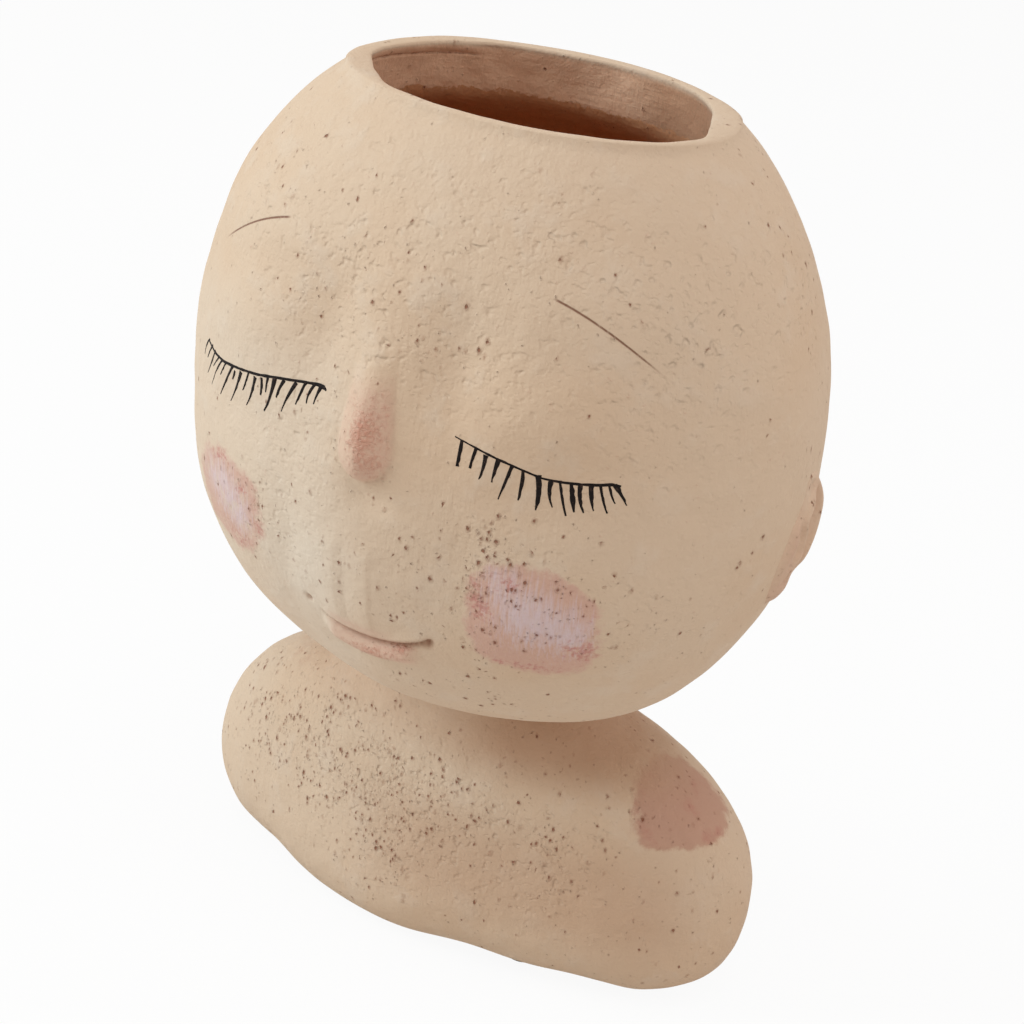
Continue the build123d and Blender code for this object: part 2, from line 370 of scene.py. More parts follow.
# %% Over the rim
top_rings = []
inner, outer = inside_rings[-1], outside_rings[0]
for share in np.linspace(0, 1, 11)[1:-1]:
    across = (1 - math.cos(math.pi * share)) / 2
    ring = inner + (outer - inner) * across
    low_z = inner[:, 2] + (outer[:, 2] - inner[:, 2]) * across
    ring[:, 2] = low_z + (head_rim_z - low_z) * math.sin(math.pi * share) ** 0.35
    top_rings.append(ring)
head_grid = np.array(outside_rings + socket_rings + inside_rings + top_rings)
print("head grid:", head_grid.shape)


# %% [markdown]
# ## Pushing the skin out along its own direction
# A form that stands out of a curved surface has to be pushed along the surface's normal. The
# grid gives the normal for free: at each point the steps to the neighbours along the ring and
# across the rings lie in the surface, and their cross product stands on it.


# %% Surface directions of a closed grid
def grid_normals(grid, outer_row):
    """Directions out of a grid that closes both ways. The row named lies on its outside."""
    along = np.roll(grid, -1, axis=1) - np.roll(grid, 1, axis=1)
    across = np.roll(grid, -1, axis=0) - np.roll(grid, 1, axis=0)
    normal = np.cross(along, across)
    normal = normal / np.maximum(np.linalg.norm(normal, axis=2, keepdims=True), 1e-9)
    return -normal if normal[outer_row, 0, 1] > 0 else normal


# Row 100 crosses the face, which looks towards -Y, so it tells which side is out.
face_row = 100
print("direction at the face:", grid_normals(head_grid, face_row)[face_row, 0].round(2))


# %% From a grid to an object
def add_object(name, data):
    """An object that holds a mesh, lamp or camera, put in the scene."""
    thing = bpy.data.objects.new(name, data)
    bpy.context.scene.collection.objects.link(thing)
    return thing


def smooth_skin(name, points, faces):
    """A mesh object with smooth faces, from points in millimetres."""
    mesh = bpy.data.meshes.new(name)
    mesh.from_pydata((points * mm).tolist(), [], faces)
    mesh.polygons.foreach_set("use_smooth", np.ones(len(faces), dtype=bool))
    mesh.update()
    return add_object(name, mesh)


def closed_mesh(name, grid):
    """A mesh object from a grid in millimetres that closes both ways."""
    rows, columns = grid.shape[:2]
    index = np.arange(rows * columns).reshape(rows, columns)
    right, down = np.roll(index, -1, axis=1), np.roll(index, -1, axis=0)
    both = np.roll(right, -1, axis=0)
    corners = np.stack([index, down, both, right], axis=2).reshape(-1, 4)
    return smooth_skin(name, grid.reshape(-1, 3), corners.tolist())


# %% What is painted on a mesh, and what it holds
def paint_masks(thing, masks):
    """Stores one number for each point and mask, for a material to read by name."""
    for name, values in masks.items():
        layer = thing.data.attributes.new(name, "FLOAT", "POINT")
        layer.data.foreach_set("value", np.ascontiguousarray(values, dtype=np.float32).ravel())
    print(thing.name, "has the masks", list(masks))


def mesh_volume(thing):
    """Volume inside a closed mesh in millilitres, positive where faces look outwards."""
    mesh = thing.data
    mesh.calc_loop_triangles()
    points = np.array([v.co for v in mesh.vertices])
    tri = np.array([t.vertices for t in mesh.loop_triangles])
    a, b, c = points[tri[:, 0]], points[tri[:, 1]], points[tri[:, 2]]
    return float(np.einsum("ij,ij->i", a, np.cross(b, c)).sum() / 6 * 1e6)


# %% Raise the face and the hand-made lumps, then make the head
rows_outside = len(outside_rings)
inner_start = rows_outside + len(socket_rings)
outside_rows = slice(0, rows_outside)
normals = grid_normals(head_grid, face_row)
big, small = lumps(head_grid, 26, 1), lumps(head_grid, 7, 2)
height = head_grid[:, :, 2] - head_centre_z
raise_by = np.zeros(head_grid.shape[:2])
front_share = ease(np.cos(head_turns), 0.05, 0.3)[None, :]
face = face_form(head_grid[outside_rows, :, 0], height[outside_rows])
hand = 0.42 * (big[outside_rows] - 0.75) + 0.1 * small[outside_rows]
raise_by[outside_rows] = face * front_share
raise_by[outside_rows] += np.minimum(hand, 0.05) * ease(height[outside_rows], -66, -60)
raise_by[inner_start:] += 0.25 * (small[inner_start:] - 0.8) * ease(height[inner_start:], -56, -50)
# Over the rim the push changes evenly from the inside's to the outside's and leaves no groove.
shift = normals * raise_by[:, :, None]
over_rim = np.linspace(0, 1, len(top_rings) + 2)[1:-1, None, None]
shift[-len(top_rings):] = shift[-len(top_rings) - 1] * (1 - over_rim) + shift[0] * over_rim
head_grid = head_grid + shift
low_side = bump(np.degrees(head_turns) % 360, 262, 25)[None, :]
dip = 0.4 * low_side * ease(head_grid[:, :, 2] - head_centre_z, 56, 67)
head_grid[:, :, 2] = np.minimum(head_grid[:, :, 2] - dip, head_rim_z - 0.02)
head_skin = closed_mesh("head_skin", head_grid)
print("head volume in millilitres:", round(mesh_volume(head_skin), 1))
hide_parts("head_shell")
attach(head_skin, "planter")

# %% [markdown]
# ## The bust
# The hollow bust is a smaller copy of the same idea. A short table gives its half width, its
# front and back depth and how far the neck leans forward at a few heights. A smooth curve
# through the table's rows gives as many rings as the mesh needs, and its plan is an oval that
# is a bit pointed at the chest and a bit square at the back.

# %% Sizes of the bust
bust_low, bust_high = [np.array(corner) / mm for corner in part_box("bust_shell")]
foot_height, bust_height = bust_low[2], 65.5
bust_half_width, bust_front_depth, bust_back_depth = 71.3, 31.6, 32.1
bust_centre_y = neck_centre_y + 8.0
recess_radius, recess_top_z, drain_radius, drain_edge_radius = 10.5, 5.0, 6.0, 6.2
spigot_top_z, under_shares = 79.1, (0.06, 0.3, 0.55, 0.8, 1)
bust_wall, bust_floor_z, neck_lean = 6.0, foot_height + 8.0, 8.0
bust_table = np.array([
    # height, half width, front depth and back depth as shares, and the neck's lean
    (0.0, 0.74, 0.736, 0.87, 0.0),
    (0.03, 0.87, 0.862, 0.886, 0.0),
    (0.13, 0.965, 0.958, 0.89, -0.03),
    (0.34, 1.0, 0.99, 0.905, -0.12),
    (0.5, 0.963, 0.975, 0.94, -0.21),
    (0.65, 0.865, 0.9, 0.94, -0.05),
    (0.78, 0.708, 0.805, 0.87, 0.22),
    (0.9, 0.49, 0.692, 0.73, 0.66),
    (1.0, 0.325, 0.591, 0.59, 1.0),
])
bust_columns = 288
bust_turns = np.arange(bust_columns) * 2 * math.pi / bust_columns
print("bust box in mm:", bust_low.round(2), bust_high.round(2))


# %% A smooth curve through the table's rows
def smooth_rows(table, count):
    """Rows on a smooth curve through the table's rows, evenly spaced along it."""
    sizes = [bust_height, bust_half_width, bust_front_depth, bust_back_depth, neck_lean]
    step = np.linalg.norm(np.diff(table * sizes, axis=0), axis=1)
    place = np.concatenate([[0], np.cumsum(step)])
    slope = np.gradient(table, place, axis=0, edge_order=2)
    wanted = np.linspace(0, place[-1], count)
    k = np.clip(np.searchsorted(place, wanted, side="right") - 1, 0, len(place) - 2)
    gap = (place[k + 1] - place[k])[:, None]
    t = (wanted - place[k])[:, None] / gap
    return (
        (2 * t**3 - 3 * t**2 + 1) * table[k] + (t**3 - 2 * t**2 + t) * gap * slope[k]
        + (-2 * t**3 + 3 * t**2) * table[k + 1] + (t**3 - t**2) * gap * slope[k + 1]
    )


def bust_ring(row, inset=0.0):
    """One ring of the bust from a row of the table."""
    height, wide, front, back, lean = row
    square = 1 - ease(height, 0.55, 0.95)
    powers = np.where(np.cos(bust_turns) >= 0, 2 - 0.16 * square, 2 + 0.4 * square)
    across, ahead = np.sin(bust_turns), np.cos(bust_turns)
    push = (np.abs(across) ** powers + np.abs(ahead) ** powers) ** (-1 / powers)
    depth = np.where(ahead >= 0, bust_front_depth * front, bust_back_depth * back) - inset
    x = (bust_half_width * wide - inset) * across * push
    y = bust_centre_y - neck_lean * lean - depth * ahead * push
    return np.stack([x, y, np.full_like(x, foot_height + bust_height * height)], axis=1)


def neck_ring(outline, z):
    """A level oval of the bust's columns about the neck, from its half width and half depth."""
    return oval_ring(*outline, neck_centre_y, z, bust_turns)


def drain_ring(radius, z):
    """A level circle of the bust's columns about the drain."""
    return oval_ring(radius, radius, bust_centre_y, z, bust_turns)


print("rows of the curve:", smooth_rows(bust_table, 110).shape)

# %% The bust's rings, down the outside and up the inside
bust_rows = smooth_rows(bust_table, 110)[::-1]
bust_rings = [neck_ring((16.6, 12.6), spigot_top_z)]
bust_rings += [neck_ring((17, 13), z) for z in (78.8, 77, 75.1)]
bust_rings += [neck_ring(outline, neck_seat_z) for outline in ((17.4, 13.4), (21.6, 17.6))]
bust_rings += [neck_ring((22, 18), z) for z in (74.5, 72, 70, 68.8)]
neck_rows = len(bust_rings)
bust_rings += [bust_ring(row) for row in bust_rows]
outer_end = len(bust_rings)
under = bust_rings[-1]
recess = drain_ring(recess_radius + 0.1, foot_height)
bust_rings += [under + (recess - under) * share for share in under_shares]
bust_rings += [drain_ring(recess_radius, z) for z in (2.2, 3.5, 4.9)]
bust_rings += [drain_ring(radius, recess_top_z) for radius in (10.3, drain_edge_radius)]
bust_rings += [drain_ring(drain_radius, z) for z in (5.2, 7.5, 9.8)]
bust_rings += [drain_ring(drain_edge_radius, bust_floor_z)]
inside_rows = [
    row for row in bust_rows[::-1][::3] if row[0] * bust_height > 8.6 and row[0] < 0.97]
wall_ring = bust_ring(inside_rows[0], bust_wall)
wall_ring[:, 2] = bust_floor_z
drain_edge = bust_rings[-1]
bust_rings += [drain_edge + (wall_ring - drain_edge) * share for share in (0.25, 0.55, 0.8, 0.96)]
bust_rings += [bust_ring(row, bust_wall) for row in inside_rows]
bust_rings += [neck_ring(neck_passage, z) for z in (68.5, 72, 75.5, 78.8)]
bust_rings += [neck_ring((13.8, 9.8), spigot_top_z)]
bust_grid = np.array(bust_rings)
print("bust grid:", bust_grid.shape)


# %% The chest's own forms
def bust_form(z, turn):
    """Soft unevenness of the shoulders and chest, in millimetres out of the plain shape."""
    degrees = (np.degrees(turn) + 180) % 360 - 180
    low_bulge = 0.8 * bump(degrees, 62, 20) * bump(z, 10, 12)
    waist = -0.5 * bump(degrees, 20, 25) * bump(z, 30, 14)
    return low_bulge + waist


print("the waist is pressed in by", round(-float(bust_form(30.0, np.radians(20))), 2), "mm")


# %% Push the bust's skin out, and lift its front edge off the floor
bust_normals = grid_normals(bust_grid, outer_row=40)
bust_big, bust_small = lumps(bust_grid, 24, 5), lumps(bust_grid, 6, 6)
outer = slice(neck_rows, outer_end)
z_outer = bust_grid[outer, :, 2]
bust_raise = np.zeros(bust_grid.shape[:2])
bust_raise[outer] = bust_form(z_outer, bust_turns[None, :])
bust_raise[outer] += np.minimum(0.5 * (bust_big[outer] - 0.8) + 0.14 * bust_small[outer], 0.0)
bust_raise[outer] *= ease(z_outer, foot_height, foot_height + 2.5) * ease(z_outer, 67.6, 64)
bust_grid = bust_grid + bust_normals * bust_raise[:, :, None]
edge_end = outer_end + len(under_shares)
x, y, z = [bust_grid[:edge_end, :, k] for k in range(3)]
lifted = 2.1 * bump(x, 15, 14) + 1.75 * bump(x, 41, 16) + 1.8 * bump(x, -46, 12)
lifted = lifted * ease(y, 4, -8) * (1 - ease(z, foot_height, 26))
bust_grid[:edge_end, :, 1] += 0.5 * lifted
bust_grid[:edge_end, :, 2] += lifted
bust_skin = closed_mesh("bust_skin", bust_grid)
print("bust volume in millilitres:", round(mesh_volume(bust_skin), 1))
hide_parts("bust_shell")
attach(bust_skin, "planter")

# %% [markdown]
# ## The ears
# Each ear is a pad of clay pressed onto the side of the head, with a rolled edge, a fold
# inside it, a hollow and a lobe. It is made as a round sheet of rings from the middle to the
# edge, with its height given by the same soft hills and hollows as the face, then closed by
# its flat back. The second ear is the first one mirrored, with its faces turned round again.

# %% Sizes of an ear and its relief
ear_low, ear_high = [np.array(corner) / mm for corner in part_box("ear_left")]
ear_centre_y, ear_centre_z = (ear_low[1:] + ear_high[1:]) / 2
ear_seat_x, ear_thickness = ear_low[0], ear_high[0] - ear_low[0]
ear_half_length, ear_half_depth, ear_lean = 17.0, 9.3, math.radians(12)


def ear_relief(p, q):
    """Height over the ear's seat. p runs from its front to its back, q from lobe to top."""
    reach = np.sqrt(p**2 + q**2)
    dome = 4.5 * np.clip(1 - reach**4, 0, 1) ** 0.5
    back_share = ease(p + 0.25 * q, -0.75, -0.1)
    roll = 1.8 * bump(reach, 0.84, 0.12) * back_share * ease(q, -0.85, -0.45)
    bend_places = (-0.6, -0.42, -0.2, 0.0, 0.22, 0.45, 0.75)
    bend = np.interp(q, bend_places, (-0.45, -0.3, -0.04, -0.1, -0.3, -0.1, 0.2))
    ridge = 1.35 * bump(p - bend, 0, 0.1) * ease(q, -0.68, -0.42) * ease(q, 0.88, 0.66)
    hollow = -2.5 * bump(p, 0.3, 0.25) * bump(q, 0.14, 0.46)
    flap = 1.0 * bump(p, -0.52, 0.15) * bump(q, -0.06, 0.3)
    low_hollow = -1.6 * bump(p, -0.14, 0.2) * bump(q, -0.5, 0.13)
    lobe = 0.9 * bump(p, -0.05, 0.4) * bump(q, -0.78, 0.18)
    front_groove = -1.2 * bump(p, -0.6, 0.15) * bump(q, 0.45, 0.25)
    forms = roll + ridge + hollow + flap + low_hollow + lobe + front_groove
    return np.clip(dome + forms * ease(reach, 1.0, 0.88), 0.02, ear_thickness - 0.05)


print("ear centre at", round(ear_centre_y, 2), round(ear_centre_z, 2), "mm")


# %% Make the ears
def ear_outline(turn):
    """The ear's reach against a plain oval: cut in behind the lobe and at the top."""
    degrees = np.degrees(turn)
    lobe_cut = 0.21 * bump(degrees, 146, 30) + 0.2 * bump(degrees, 116, 24)
    top_cut = 0.13 * bump((degrees + 180) % 360 - 180, 12, 32)
    return 1 + 0.02 * np.sin(3 * turn + 1) - lobe_cut - top_cut


def make_ear(name, node, side):
    """An ear on one side, its back closed by a middle point."""
    rings, sectors = 44, 112
    reach = np.linspace(0, 1, rings + 1)[1:]
    turn = np.arange(sectors) * 2 * math.pi / sectors
    p = reach[:, None] * np.sin(turn)[None, :]
    q = reach[:, None] * np.cos(turn)[None, :]
    flatter_ends = (1 - 0.28 * ease(q, 0.35, 0.95)) * (1 - 0.22 * ease(q, -0.3, -0.85))
    rise = ear_relief(p, q) * flatter_ends
    rise[-1] = 0.0
    grow = ear_outline(turn)[None, :]
    flat_y, flat_z = p * ear_half_depth * grow, q * ear_half_length * grow
    y = ear_centre_y + flat_y * math.cos(ear_lean) + flat_z * math.sin(ear_lean)
    z = ear_centre_z - flat_y * math.sin(ear_lean) + flat_z * math.cos(ear_lean)
    x = side * (ear_seat_x + rise)
    points = np.stack([x, y, z], axis=2).reshape(-1, 3)
    middle_rise = float(ear_relief(np.array(0.0), np.array(0.0)))
    middle_top = [side * (ear_seat_x + middle_rise), ear_centre_y, ear_centre_z]
    middle_back = [side * ear_seat_x, ear_centre_y, ear_centre_z]
    points = np.vstack([points, middle_top, middle_back])
    top, back = rings * sectors, rings * sectors + 1
    faces = []
    for j in range(sectors):
        k = (j + 1) % sectors
        faces.append((top, k, j))
        faces.append((back, (rings - 1) * sectors + j, (rings - 1) * sectors + k))
        for i in range(rings - 1):
            a, b = i * sectors, (i + 1) * sectors
            faces.append((a + j, a + k, b + k, b + j))
    if side < 0:
        faces = [face[::-1] for face in faces]
    ear = smooth_skin(name, points, faces)
    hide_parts(node)
    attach(ear, "planter")
    p, q = np.append(p, [0, 0]), np.append(q, [0, 0])
    hollow = bump(p, 0.28, 0.3) * bump(q, 0.1, 0.5)
    flap = bump(p, -0.5, 0.2) * bump(q, -0.1, 0.32)
    low = bump(p, -0.2, 0.4) * bump(q, -0.7, 0.3)
    paint_masks(ear, {
        "pink": 0.22 + 0.6 * hollow + 0.5 * flap + 0.45 * low,
        "pinholes": np.full(len(p), 0.1),
        # Painted shade in the ear's hollows.
        "painted_shade": np.clip(0.95 * hollow + 0.6 * flap + 0.5 * low, 0, 1),
    })
    return ear


ear_left_skin = make_ear("ear_left_skin", "ear_left", 1)
ear_right_skin = make_ear("ear_right_skin", "ear_right", -1)
for ear in (ear_left_skin, ear_right_skin):
    print(ear.name, "holds", round(mesh_volume(ear), 2), "millilitres")

# %% [markdown]
# ## Where the paint goes
# The blush, the pink of the nose and lips, the brown line of the mouth and the many pinholes
# each cover a part of the surface. Painting them by hand on an image would tie the look to a
# picture. Instead every point of the mesh carries a number for each, from 0 to 1, and the
# material breaks up the soft edges with noise so that they look brushed.


# %% Masks on the head
def patch(x, h, centre, reach, power=2.6, edge=0.25):
    """A squarish patch: 1 inside, 0 outside, soft at its edge."""
    across, along = np.abs((x - centre[0]) / reach[0]), np.abs((h - centre[1]) / reach[1])
    return ease((across**power + along**power) ** (1 / power), 1 + edge, 1 - edge)


def blobs(x, h, table):
    """A sum of soft round patches: place, reach and strength of each."""
    return sum(strength * bump(x, cx, rx) * bump(h, ch, rh) for cx, ch, rx, rh, strength in table)


rows = np.arange(head_grid.shape[0])
on_outside = (rows < rows_outside).astype(float)[:, None]
on_inside = (rows >= inner_start - 2) & (rows < inner_start + inside_count + 1)
on_inside = on_inside.astype(float)[:, None]
x, h = head_grid[:, :, 0], head_grid[:, :, 2] - head_centre_z
facing = front_share * on_outside
over = h - mouth_line(x)
print("points that the face's paint can reach:", int((facing > 0).sum()))

# %% The blush of the cheeks
slant = 0.8 * (np.abs(x) - 34.4) / 13 + 0.9 * (h + 24) / 13
cheeks = patch(x, h, (34.2, -24.6), (12.6, 13.2), 2.8, 0.28) * ease(slant, 1.35, 1.05)
cheeks += 0.72 * patch(x, h, (-38.8, -23), (13.2, 12.0), 2.4, 0.3)
# Each row of a table is a place sideways and up, a reach sideways and up, and a strength.
blush_white = blobs(x, h, [
    (32.0, -21, 8, 8.5, 0.75), (38, -25, 7, 7, 0.6), (43, -26, 3.5, 5.5, 0.5),
    (27, -15, 3, 3, 0.4), (-41, -20, 9, 7.5, 0.8), (-34, -25, 5, 6, 0.6),
])
blush_red = blobs(x, h, [
    (23.6, -20.5, 1.8, 3.6, 0.75), (26.2, -24, 2.2, 3.0, 0.65), (43.5, -30, 3.6, 3.0, 0.8),
    (46, -24, 1.6, 5, 0.4), (31, -16.5, 3, 2, 0.6), (26, -16, 3, 3, 0.4), (32, -36.5, 9, 1.8, 0.6),
    (-44, -13.5, 7, 2.2, 0.8), (-27.5, -25, 1.5, 4, 0.8), (-36, -31.5, 4, 2.4, 0.6),
    (-33, -18, 2, 1.6, 0.8),
])
print("points under the blush:", int((cheeks * facing > 0.5).sum()))

# %% The pink and brown of nose and mouth
nose_reach = np.hypot(*nose_shares(x, h))
nose_pink = ease(nose_reach, 1.15, 0.8) * ease(h, 22, 12) * (0.6 + 0.4 * ease(x, -4, 0))
lip_pink = ease(np.abs(x - 0.6), 12.5, 7.5) * ease(over, -8.5, -4.5) * ease(over, 0.4, -0.4)
lip_pink *= 0.8 + 0.2 * ease(x, -6, 6)
lip_pink += 0.6 * ease(x, -12, -6) * ease(x, 9, 2) * bump(over, 1.0, 1.1)
terracotta = blobs(x, h, [(-0.4, 8, 3.8, 7, 0.75), (2.2, 0.8, 2.4, 3.6, 0.25)])
terracotta += blobs(x, over, [(8.2, -2.1, 3.4, 1.1, 0.6), (1, -4.2, 7, 1.9, 0.62)])
# The mouth line's brown and the dark pit at its left end are partly bare clay and partly painted
# shade in the pressed line and the dimple.
mouth_brown_and_shade = bump(over, -0.55, 0.5) * ease(x, 14.6, 12) * ease(x, -12.4, -8.5)
mouth_brown_and_shade *= 0.7 + 0.3 * ease(x, -9, 0)
mouth_brown_and_shade += blobs(x, over, [(13.9, -1.0, 0.9, 1.1, 0.9)])
mouth_brown_and_shade += blobs(x, h, [(-15.2, -36.7, 0.6, 0.6, 0.9)])
print("points on the brown line:", int((mouth_brown_and_shade * facing > 0.5).sum()))

# %% Pinholes, dents and the pale side, and all masks stored on the head
head_pinholes = blobs(x, h, [
    (34, -17, 11, 6, 0.6), (24, -24, 4, 12, 0.5), (36, -30, 10, 6, 0.25), (-32, -18, 12, 8, 0.4),
    (26, -9, 6, 5, 0.4), (12, 29, 8, 7, 0.25), (2, 36, 9, 8, 0.12), (-20, 30, 10, 16, 0.12),
    (-38, 46, 12, 8, 0.12), (8, -18, 9, 12, 0.12), (50, -22, 9, 12, 0.08), (-12, 4, 8, 14, 0.12),
    (20, -52, 30, 6, 0.12), (-8, -24, 6, 10, 0.2),
]) + 0.012
head_dents = blobs(x, h, [
    (24, 50, 24, 13, 0.8), (-14, 36, 18, 24, 0.6), (8, 24, 16, 12, 0.5), (-38, 44, 12, 16, 0.6),
    (52, 36, 14, 14, 0.9), (28, -9, 12, 7, 0.6), (50, 14, 14, 14, 0.5), (56, -24, 12, 14, 0.5),
    (-20, -10, 14, 22, 0.5), (24, 24, 12, 8, 0.5), (14, -30, 7, 9, 0.5),
]) + 0.08
# Painted highlight: the left side of the lower face, which faces the key lamp, is made paler.
painted_highlight = 0.3 * ease(x, 2, -14) * ease(h, 30, 8) + 0.45 * bump(x, -14, 15) * bump(h, -30, 16)
under_roll = rim_roll(head_turns)[None, :] * bump(head_rim_z - head_grid[:, :, 2], 3.3, 0.22)
paint_masks(head_skin, {
    "painted_highlight": painted_highlight * facing,
    "blush": cheeks * facing,
    "blush_white": blush_white * facing,
    "blush_red": blush_red * facing,
    "terracotta": np.clip(terracotta, 0, 1) * facing,
    "pink": np.clip(nose_pink + lip_pink, 0, 1) * facing,
    "mouth_brown_and_shade": mouth_brown_and_shade * facing,
    "pinholes": np.where(on_outside > 0, np.where(front_share > 0, head_pinholes, 0.05), 0.04),
    "dents": np.where(on_outside > 0, head_dents, 0.1),
    "inside": np.broadcast_to(on_inside, x.shape),
    "rolled": under_roll * on_inside,
})

# %% Masks on the bust
x, y, z = bust_grid[:, :, 0], bust_grid[:, :, 1], bust_grid[:, :, 2]
bust_outer = np.zeros(bust_grid.shape[:2])
bust_outer[neck_rows:outer_end] = 1
high = ease(z, 40.5, 44)
smear = patch(x, y, (53, 9), (10.4, 14.0), 2.4, 0.3) * high
smear += 0.35 * patch(x, y, (-44, 2), (6, 6), 2.2, 0.5) * high
smear_red = high * blobs(x, y, [
    (54.5, 9, 3.2, 3.6, 0.7), (52.5, 17, 2.4, 4, 0.6), (60.5, 8, 1.6, 1.9, 0.7),
    (61.6, 12, 1.4, 3.2, 0.9), (45.4, 6, 1.8, 6.5, 0.6), (50, -2, 6, 1.8, 0.5),
    (-44, 2, 3, 3, 0.3),
])
front_of_bust = ease(y, 14, 2)
bust_pinholes = 0.72 * front_of_bust * blobs(x, z, [
    (-38, 40, 18, 10, 1.0), (-14, 41, 13, 11, 1.1), (-26, 52, 12, 6, 0.5), (-5, 24, 8, 7, 0.6),
    (-22, 30, 14, 5, 0.5), (31, 36, 7, 12, 0.45), (8, 44, 8, 9, 0.5), (-50, 30, 8, 10, 0.4),
    (24, 40, 9, 10, 0.3), (45, 48, 6, 6, 0.2),
]) + 0.07
bust_dents = front_of_bust * blobs(x, z, [
    (30, 34, 14, 14, 0.8), (-25, 40, 26, 16, 0.7), (5, 36, 14, 16, 0.9), (44, 44, 10, 8, 0.4),
]) + 0.12
# Painted shade: darker under the jaw, on the lower middle of the chest under the head and on the
# far shoulder.
under_jaw_shade = ease(z, 48, 60) * (0.4 + 0.6 * ease(x, -4, 20))
low_chest_shade = 0.6 * ease(x, -24, 6) * ease(y, 6, -8) * ease(z, 48, 32) * ease(z, 8, 26)
far_shoulder_shade = 0.16 * ease(x, 24, 62) * ease(z, 52, 40)
bare_bust = np.zeros(bust_grid.shape[:2])
bare_bust[outer_end + 1:] = 1
bare_bust[:4] = 1
paint_masks(bust_skin, {
    "smear": smear * bust_outer,
    "painted_shade": np.clip(under_jaw_shade + low_chest_shade + far_shoulder_shade, 0, 1) * bust_outer,
    "smear_red": smear_red * bust_outer,
    "pinholes": np.where(bust_outer > 0, bust_pinholes, 0.05),
    "dents": np.where(bust_outer > 0, bust_dents, 0.3),
    "raw": bare_bust,
})

# %% [markdown]
# ## Helpers for materials
# A material is a graph of small nodes. A few helpers keep the script short: one adds a node and
# fills its sockets with numbers or links, and the others do a sum, read a noise or mix two
# colours with it. Colours are written as they look on a screen, from 0 to 255, and turned into
# the linear values that Blender calculates with.


# %% Small helpers for node graphs
def screen_colour(red, green, blue):
    """A screen colour from 0 to 255 as linear red, green, blue and alpha."""
    shares = [c / 255 for c in (red, green, blue)]
    return [s / 12.92 if s <= 0.04045 else ((s + 0.055) / 1.055) ** 2.4 for s in shares] + [1.0]


def wire(tree, kind, values=None, **options):
    """Adds a node with its options, and fills inputs with numbers or links."""
    item = tree.nodes.new(kind)
    for name, value in options.items():
        setattr(item, name, value)
    for key, value in (values or {}).items():
        if isinstance(value, bpy.types.NodeSocket):
            tree.links.new(value, item.inputs[key])
        else:
            item.inputs[key].default_value = value
    return item


print("white on a screen is", screen_colour(255, 255, 255)[:3])


# %% Sums, noises and mixes as nodes
def calc(tree, operation, *values):
    """The result of one sum."""
    return wire(tree, "ShaderNodeMath", dict(enumerate(values)), operation=operation).outputs[0]


def times(tree, first, second):
    """Two numbers multiplied."""
    return calc(tree, "MULTIPLY", first, second)


def vector_calc(tree, operation, first, second=(0.0, 0.0, 0.0)):
    """The result of one sum with vectors. For SCALE the second value is a number."""
    inputs = {0: first, "Scale" if operation == "SCALE" else 1: second}
    return wire(tree, "ShaderNodeVectorMath", inputs, operation=operation).outputs[0]


def bump_map(tree, height, distance):
    """A surface direction bent by a height, and how many metres a height of 1 stands for."""
    inputs = {"Height": height, "Distance": distance, "Strength": 1.0}
    return wire(tree, "ShaderNodeBump", inputs).outputs["Normal"]


def noise_at(tree, vector, scale, detail, roughness=0.5, output="Fac"):
    """A noise from 0 to 1 at a place, or its colour."""
    inputs = {"Vector": vector, "Scale": scale, "Detail": detail, "Roughness": roughness}
    return wire(tree, "ShaderNodeTexNoise", inputs).outputs[output]


def place_in_mm(tree):
    """The place on the piece, in millimetres."""
    return vector_calc(tree, "SCALE", wire(tree, "ShaderNodeTexCoord").outputs["Object"], 1000.0)


def step_up(tree, value, low, high, to_low=0.0, to_high=1.0):
    """A smooth step of a value between two limits."""
    inputs = {"Value": value, "From Min": low, "From Max": high}
    inputs.update({"To Min": to_low, "To Max": to_high})
    return wire(tree, "ShaderNodeMapRange", inputs, interpolation_type="SMOOTHSTEP").outputs[0]


def mix_colours(tree, share, first, second):
    """A mix of two colours."""
    inputs = {0: share, 6: first, 7: second}
    return wire(tree, "ShaderNodeMix", inputs, data_type="RGBA").outputs[2]


# %% Materials and groups
def new_material(name):
    """A material, its node tree and its Principled shader."""
    material = bpy.data.materials.new(name)
    material.use_nodes = True
    return material, material.node_tree, material.node_tree.nodes["Principled BSDF"]


def new_group(name, inputs, outputs):
    """A shader group with named sockets: the tree, its input node and its output node."""
    tree = bpy.data.node_groups.new(name, "ShaderNodeTree")
    for label, kind, value in inputs:
        socket = tree.interface.new_socket(label, in_out="INPUT", socket_type=kind)
        if value is not None:
            socket.default_value = value
    for label, kind in outputs:
        tree.interface.new_socket(label, in_out="OUTPUT", socket_type=kind)
    return tree, tree.nodes.new("NodeGroupInput").outputs, tree.nodes.new("NodeGroupOutput").inputs


def use_group(tree, group, values):
    """Places a group in another tree and returns its outputs."""
    return wire(tree, "ShaderNodeGroup", values, node_tree=group).outputs


NUMBER, VECTOR, COLOUR = "NodeSocketFloat", "NodeSocketVector", "NodeSocketColor"
print("a group's sockets are one of", NUMBER, VECTOR, COLOUR)

# %% [markdown]
# ## Pinholes
# Air bubbles in the clay leave pinholes where they burst. A cell pattern puts one point in
# each cell of space. A random number of the cell says whether it holds a mark, and its
# distance says how near the surface is. A noise bends the space first, so that no mark is
# round. The group gives a dark core, a soft halo of sunken clay round it, and a height.

